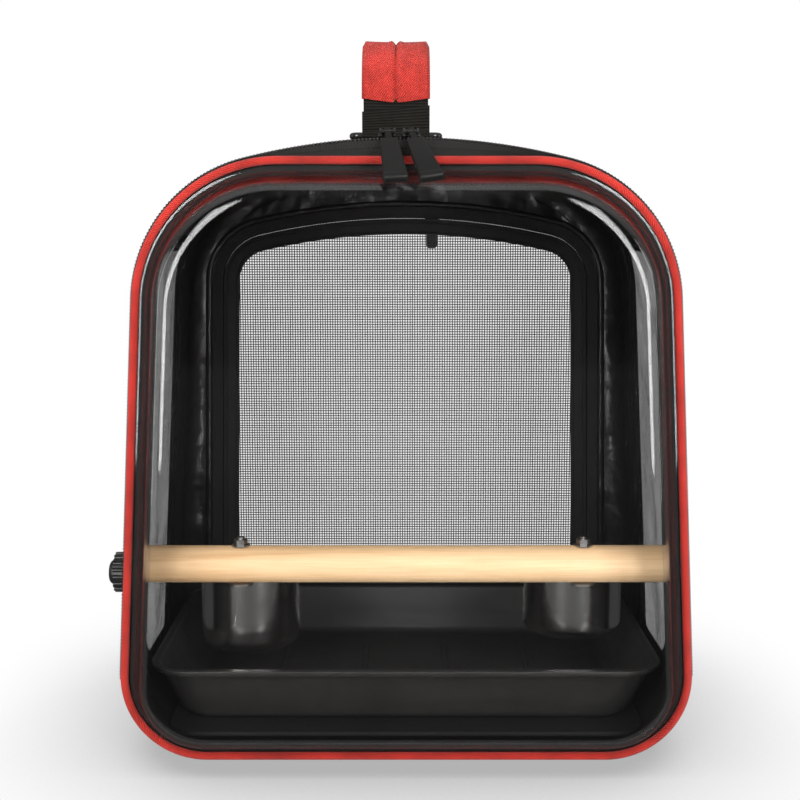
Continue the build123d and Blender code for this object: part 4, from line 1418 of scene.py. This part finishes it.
def perch_point(u, v):
    along = -1 + 2 * v
    edge = eased(1 - abs(along), 0.0, 0.004)
    radius = PERCH_RADIUS - 1.0 + edge
    angle = math.tau * u
    a, b = math.cos(angle), math.sin(angle)
    radius += 0.12 * ripple(along * 200, a * 30, b * 30, 20.0, (0.15, 1, 1)) * edge
    end = PERCH_END * along
    return spot(end, PERCH_DEPTH + radius * a, PERCH_HEIGHT + radius * b)


perch = carried_grid("pine_perch", 64, 240, perch_point, (0.088, 0.39))
edit_all((bpy.ops.mesh.remove_doubles, {"threshold": 1e-6}))
bpy.ops.object.mode_set(mode="EDIT")
bpy.ops.mesh.select_all(action="DESELECT")
bpy.ops.mesh.select_non_manifold()
bpy.ops.mesh.fill_holes(sides=0)
bpy.ops.object.mode_set(mode="OBJECT")
edit_all((bpy.ops.mesh.normals_make_consistent, {"inside": False}))
dressed(perch, "carrier_body", pale_pine, ("perch",))


# %% [markdown]
# The litter tray is one thin moulding with flaring walls and a rim that turns down. Its
# rounded-rectangle section grows with height, so it is carried round like the dome.

# %% Litter tray
TRAY_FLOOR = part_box("litter_tray")[0].z / MM
TRAY_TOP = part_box("litter_tray")[1].z / MM


def tray_outline(u, rise, grow):
    """A point round the tray at a height above its floor, grown outwards."""
    half_x = 171.0 + rise * 19.0 / 42.0 + grow
    half_y = (224.0 - 18.0) / 2 + rise * 9.0 / 42.0 + grow
    radius = 26.0 + grow
    flat_x, flat_y, arc = 2 * (half_x - radius), 2 * (half_y - radius), radius * math.pi / 2
    shares = [0.20, 0.10, 0.15, 0.10] * 2
    s = (u % 1.0) * sum(shares)
    for number, share in enumerate(shares):
        if s <= share or number == 7:
            break
        s -= share
    f = min(s / share, 1.0)
    quarter = number // 2
    if number % 2 == 0:
        if quarter == 0:
            return -(half_x - radius) + flat_x * f, -half_y
        if quarter == 1:
            return half_x, -(half_y - radius) + flat_y * f
        if quarter == 2:
            return (half_x - radius) - flat_x * f, half_y
        return -half_x, (half_y - radius) - flat_y * f
    angle = math.radians(-90 + 90 * quarter + 90 * f)
    signs = ((1, -1), (1, 1), (-1, 1), (-1, -1))[quarter]
    return (signs[0] * (half_x - radius) + radius * math.cos(angle),
            signs[1] * (half_y - radius) + radius * math.sin(angle))


def tray_rings():
    """(rise, grow) of each ring, from the middle of the underside over the rim inside."""
    rings = [(0.0, -60.0), (0.0, -6.0), (1.0, -2.6), (3.0, -0.8), (6.0, 0.0), (22.0, 0.0),
             (37.5, 0.0), (39.6, 0.6), (39.9, 2.9), (37.9, 3.2), (37.9, 4.8), (40.6, 5.0),
             (41.7, 4.4), (42.0, 3.0), (42.0, 0.0), (41.6, -1.4), (40.4, -2.0), (22.0, -2.0),
             (7.0, -2.0), (3.8, -3.2), (2.4, -5.6), (2.0, -9.0), (2.0, -60.0)]
    return rings


def tray_point(u, v):
    rings = tray_rings()
    rise, grow = rings[round(v * (len(rings) - 1))]
    if grow < -30.0:
        x, y = tray_outline(u, rise, -25.0)
        x, y = x * 0.02, y * 0.02
    else:
        x, y = tray_outline(u, rise, grow)
    return spot(x, 141.0 + y, TRAY_FLOOR + rise)


tray = carried_grid("tray_moulding", 220, len(tray_rings()) - 1, tray_point, (1.2, 0.3))
edit_all((bpy.ops.mesh.remove_doubles, {"threshold": 1e-6}))
bpy.ops.object.mode_set(mode="EDIT")
bpy.ops.mesh.select_all(action="DESELECT")
bpy.ops.mesh.select_non_manifold()
bpy.ops.mesh.fill_holes(sides=0)
bpy.ops.object.mode_set(mode="OBJECT")
edit_all((bpy.ops.mesh.normals_make_consistent, {"inside": False}))


def tray_ribs():
    ribs = []
    for number in range(4):
        deselect()
        bpy.ops.mesh.primitive_cube_add(size=1, location=spot((number - 1.5) * 171.0 / 2.5, 141.0,
                                                              TRAY_FLOOR + 2.2))
        bpy.ops.object.mode_set(mode="EDIT")
        bpy.ops.transform.resize(value=(5.0 * MM, 134.0 * MM, 2.0 * MM))
        bpy.ops.mesh.bevel(offset=0.9 * MM, segments=2, affect="EDGES")
        bpy.ops.object.mode_set(mode="OBJECT")
        ribs.append(settled(bpy.context.object))
    return ribs


tray = joined("tray_moulding", [tray] + tray_ribs())
dressed(tray, "litter_tray", tray_plastic, ("litter_tray",), 35)

# %% [markdown]
# The handle: doubled webbing rises from a wire ring at each end and passes through a red
# twill wrap, whose two edges meet in a seam along the middle. The webbing and the wrap
# are flat tapes carried along the same arched path, and the wrap's edges curl up a bit.

# %% Grip: webbing and wrap
HANDLE_X = -7.5
STRAP_TOP = 473.8
GRIP_FOOT = STRAP_TOP + 1.8 + 0.3
CROWN = 42.0
GRIP_FRONT, GRIP_BACK = 56.0, 214.0
bend = CROWN * math.pi / 2
grip_runs = [1.0, bend, (GRIP_BACK - GRIP_FRONT) - 2 * CROWN, bend, 1.0]
grip_length = sum(grip_runs)


def grip_path(u):
    s = u * grip_length
    for number, run in enumerate(grip_runs):
        if s <= run or number == 4:
            break
        s -= run
    if number == 0:
        depth, z, angle = GRIP_FRONT, GRIP_FOOT + s, math.pi / 2
    elif number == 1:
        angle = math.pi / 2 - s / CROWN
        depth = GRIP_FRONT + CROWN - CROWN * math.sin(angle)
        z = GRIP_FOOT + 1 + CROWN * math.cos(angle)
    elif number == 2:
        depth, z, angle = GRIP_FRONT + CROWN + s, GRIP_FOOT + 1 + CROWN, 0.0
    elif number == 3:
        angle = -s / CROWN
        depth = GRIP_BACK - CROWN - CROWN * math.sin(angle)
        z = GRIP_FOOT + 1 + CROWN * math.cos(angle)
    else:
        depth, z, angle = GRIP_BACK, GRIP_FOOT + 1 - s, -math.pi / 2
    out = Vector((0, -math.sin(angle), math.cos(angle)))
    return spot(HANDLE_X, depth, z), Vector((1, 0, 0)), out


def strap_section(width, thick, across=12):
    half = width / 2
    top = [(-half + width * n / across, thick / 2) for n in range(across + 1)]
    low = [(half - width * n / across, -thick / 2) for n in range(across + 1)]
    return [(-half - 0.4, 0.0)] + top + [(half + 0.4, 0.0)] + low


grip_core = swept("grip_webbing_core", 90, grip_path, strap_section(46.0, 3.4), grip_length,
                  closed=False)
dressed(grip_core, "grip", webbing_cloth, ("grip_webbing",))


def wrap_point(u, v):
    """The wrap as a closed sleeve: v runs once round the strap from the middle seam."""
    point, across, out = grip_path(u)
    half, thick = 24.0, 3.6
    s = v * 4 - 2
    if abs(s) > 1.0:
        a = math.copysign((2 - abs(s)) * half, s)
        b = thick + 0.7 * (abs(a) / half) ** 2 + 0.9 * math.exp(-((abs(a) - 3.4) / 1.6) ** 2)
        b -= 2.0 * math.exp(-(a / 1.1) ** 2)
    else:
        a, b = s * half, -thick + 0.6
    if abs(abs(s) - 1) < 0.03:
        a, b = math.copysign(half + 0.7, s), 0.4
    b += 0.5 * ripple(u * 200, a, v * 30, 26.0)
    end = min(u, 1 - u)
    slip = (3.2 * (abs(a) / half) - 2.2 + 3.0 * math.exp(-(a / 1.0) ** 2)) * (
        1 - eased(end, 0.0, 0.03))
    along = across.cross(out) * (1 if u < 0.5 else -1)
    return point + (across * a + out * b - along * slip) * MM


grip_sleeve = carried_grid("red_grip_wrap", 110, 64, wrap_point, (grip_length * MM, 0.108))
edit_all((bpy.ops.mesh.remove_doubles, {"threshold": 1e-6}),
         (bpy.ops.mesh.normals_make_consistent, {"inside": False}))
add_modifier(grip_sleeve, "SOLIDIFY", thickness=1.2 * MM, offset=-1.0)
dressed(grip_sleeve, "grip", red_wrap, ("grip_wrap",), 60)


# %% [markdown]
# Each strap passes through its ring and is folded back and sewn to itself. The fold shows
# as a second, slightly wider layer with a slanting cut end just above the ring.

# %% Straps
def strap_piece(name, depth, body, outward):
    ring = 449.8
    top = STRAP_TOP

    def path(u):
        z = ring + (top + 2.0 - ring) * u
        return spot(HANDLE_X, depth, z), Vector((1, 0, 0)), Vector((0, outward, 0))

    strap = swept(name + "_webbing", 40, path, strap_section(46.0, 3.6), top - ring,
                  closed=False)

    def loop_path(u):
        angle = math.tau * u
        point = spot(HANDLE_X, depth + 3.5 * math.cos(angle), ring + 3.5 * math.sin(angle))
        return point, Vector((1, 0, 0)), Vector((0, math.cos(angle), math.sin(angle)))

    loop = swept(name + "_loop", 32, loop_path, strap_section(48.0, 1.5), 22.0)

    def fold_path(u):
        z = ring + 20.0 * u
        return (spot(HANDLE_X, depth + outward * 2.5, z), Vector((1, 0, 0.0)),
                Vector((0, outward, 0)))

    fold = swept(name + "_fold", 16, fold_path, strap_section(48.0, 1.4), 20.0, closed=False)
    for vertex in fold.data.vertices:
        share = (vertex.co.z / MM - ring) / 20.0
        vertex.co.z += 2.2 * MM * share * (vertex.co.x / MM - HANDLE_X) / 24.0
    piece = joined(name + "_webbing", [strap, loop, fold])
    dressed(piece, body, webbing_cloth, (name,))


strap_piece("front_strap", 56.0, "front_strap", -1)
strap_piece("rear_strap", 214.0, "rear_strap", 1)

# %% [markdown]
# The rings are bent from round wire and coated black. The wire is swept round a rectangle
# with small corners. Each is held down by a short length of webbing, folded over its
# outer bar and sewn to the roof.

# %% Rings and anchors
def rectangle_path(half_x, half_y, radius, middle):
    flats = [2 * (half_x - radius), 2 * (half_y - radius)]
    arc = radius * math.pi / 2
    total = 2 * sum(flats) + 4 * arc
    signs = ((1, -1), (1, 1), (-1, 1), (-1, -1))

    def path(u):
        s = (u % 1.0) * total
        for number in range(8):
            run = arc if number % 2 else flats[number // 2 % 2]
            if s <= run or number == 7:
                break
            s -= run
        quarter = number // 2
        if number % 2:
            angle = math.radians(-90 + 90 * quarter) + s / radius
            x = signs[quarter][0] * (half_x - radius) + radius * math.cos(angle)
            y = signs[quarter][1] * (half_y - radius) + radius * math.sin(angle)
        else:
            angle = math.radians(-90 + 90 * quarter)
            start = signs[quarter - 1] if quarter else signs[3]
            x = start[0] * (half_x - radius) + radius * math.cos(angle) - s * math.sin(angle)
            y = start[1] * (half_y - radius) + radius * math.sin(angle) + s * math.cos(angle)
        out = Vector((math.cos(angle), math.sin(angle), 0))
        return middle + Vector((x, y, 0)) * MM, Vector((0, 0, 1)), out

    return path, total


def handle_ring(name, depth):
    path, total = rectangle_path(31.0, 6.0, 4.0, spot(HANDLE_X, depth, 449.8))
    ring = swept(name + "_wire", 120, path, round_section(2.4, 14), total)
    dressed(ring, "carrier_body", black_metal, (name,), 60)


handle_ring("front_handle_ring", 50.0)
handle_ring("rear_handle_ring", 220.0)


def roof_z(x):
    return -20.5 + math.sqrt(465.0 ** 2 - x * x)


def handle_anchor(name, bar, edge):
    """Webbing sewn flat on the roof from edge to the bar, and looped round the bar."""
    toward = 1 if edge > bar else -1

    def patch_point(u, v):
        x = HANDLE_X - 25.0 + 50.0 * u
        s = v if v <= 0.5 else 1 - v
        depth = edge + (bar - edge) * 2 * s
        lift = 1.6 if v <= 0.5 else 0.05
        return spot(x, depth, roof_z(x) + lift)

    patch = carried_grid(name + "_patch", 40, 24, patch_point, (0.050, abs(bar - edge) * 0.002))
    edit_all((bpy.ops.mesh.remove_doubles, {"threshold": 1e-6}))
    bpy.ops.object.mode_set(mode="EDIT")
    bpy.ops.mesh.select_all(action="DESELECT")
    bpy.ops.mesh.select_non_manifold()
    bpy.ops.mesh.fill_holes(sides=0)
    bpy.ops.object.mode_set(mode="OBJECT")
    edit_all((bpy.ops.mesh.normals_make_consistent, {"inside": False}))

    def loop_path(u):
        angle = math.tau * u
        point = spot(HANDLE_X, bar + 3.3 * math.cos(angle), 449.8 + 3.3 * math.sin(angle))
        return point, Vector((1, 0, 0)), Vector((0, math.cos(angle), math.sin(angle)))

    loop = swept(name + "_loop", 32, loop_path, strap_section(46.0, 1.6), 20.0)
    piece = joined(name + "_webbing", [patch, loop])
    dressed(piece, "carrier_body", webbing_cloth, (name,))


handle_anchor("front_handle_anchor", 44.0, 20.0)
handle_anchor("rear_handle_anchor", 226.0, 250.0)


# %% [markdown]
# Two rubber-cased pulls hang from the front zip. A pull starts as a block, is tapered
# towards its eye, rounded, and gets a raised collar near its thick end. The words that
# such pulls often carry are left off.

# %% Pulls
def tapered_block(name, length, wide_top, wide_foot, thick_top, thick_foot, rounding):
    """A block that hangs down from the origin along -Z, wider at its foot."""
    deselect()
    bpy.ops.mesh.primitive_cube_add(size=1, location=(0, 0, -length / 2 * MM))
    block = bpy.context.object
    block.name = name
    bpy.ops.object.mode_set(mode="EDIT")
    bpy.ops.transform.resize(value=(wide_top * MM, thick_top * MM, length * MM))
    bpy.ops.mesh.select_all(action="DESELECT")
    bpy.ops.object.mode_set(mode="OBJECT")
    for vertex in block.data.vertices:
        vertex.select = vertex.co.z < 0
    bpy.ops.object.mode_set(mode="EDIT")
    bpy.ops.transform.resize(value=(wide_foot / wide_top, thick_foot / thick_top, 1.0))
    bpy.ops.mesh.select_all(action="SELECT")
    bpy.ops.mesh.bevel(offset=rounding * MM, segments=4, affect="EDGES")
    bpy.ops.object.mode_set(mode="OBJECT")
    return settled(block)


def zip_pull(name, x, swing):
    body = tapered_block(name + "_case", 47.0, 12.6, 16.4, 4.2, 5.2, 1.5)
    body.data.transform(Matrix.Translation((0, 0, -10.0 * MM)))
    collar = tapered_block(name + "_collar", 7.0, 17.0, 17.2, 6.0, 6.4, 2.0)
    collar.data.transform(Matrix.Translation((0, 0, -50.0 * MM)))
    neck = tapered_block(name + "_neck", 12.0, 4.4, 4.4, 2.4, 2.4, 0.7)
    eye = lathe(name + "_eye", [(1.1, -2.2), (2.0, -2.2), (2.2, -1.9), (2.2, 1.9), (2.0, 2.2),
                                (1.1, 2.2), (1.1, -2.2)], 24, Vector((0, 0, 0)), "X")
    pull = joined(name + "_rubber", [body, collar, neck, eye])
    sideways = Matrix.Rotation(math.radians(-swing), 4, "Y")
    lean = Matrix.Rotation(math.radians(-52.0), 4, "X")
    pin = spot(x, 1.4, 444.5 + 1.6 + 3.6)
    for vertex in pull.data.vertices:
        vertex.co = pin + lean @ (sideways @ vertex.co)
    dressed(pull, name, pull_rubber, (name,), 45)


zip_pull("left_pull", -13.0, 6.0)
zip_pull("right_pull", 3.0, 14.0)

# %% [markdown]
# What is left is small and rigid, and its shape in the frame is right: it keeps its mesh
# and only gets its finish.

# %% Finishes for the pieces of the frame that stay
kept = {"floor_board": board_cloth, "perch_washers": black_plastic, "perch_knob": black_plastic,
        "perch_bolt": black_metal, "left_cup_bracket": bracket_steel,
        "right_cup_bracket": bracket_steel, "cup_bolts": bracket_steel,
        "cup_nuts": bracket_steel, "cup_washers": bracket_steel, "left_slider": black_metal,
        "right_slider": black_metal, "rear_slider": black_metal, "rear_pull": pull_rubber}
for node, material in kept.items():
    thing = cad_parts[node]
    for slot in thing.material_slots:
        slot.material = material
    if not thing.material_slots:
        thing.data.materials.append(material)

for leftover in (tooth, rear_tooth):
    bpy.data.objects.remove(leftover)
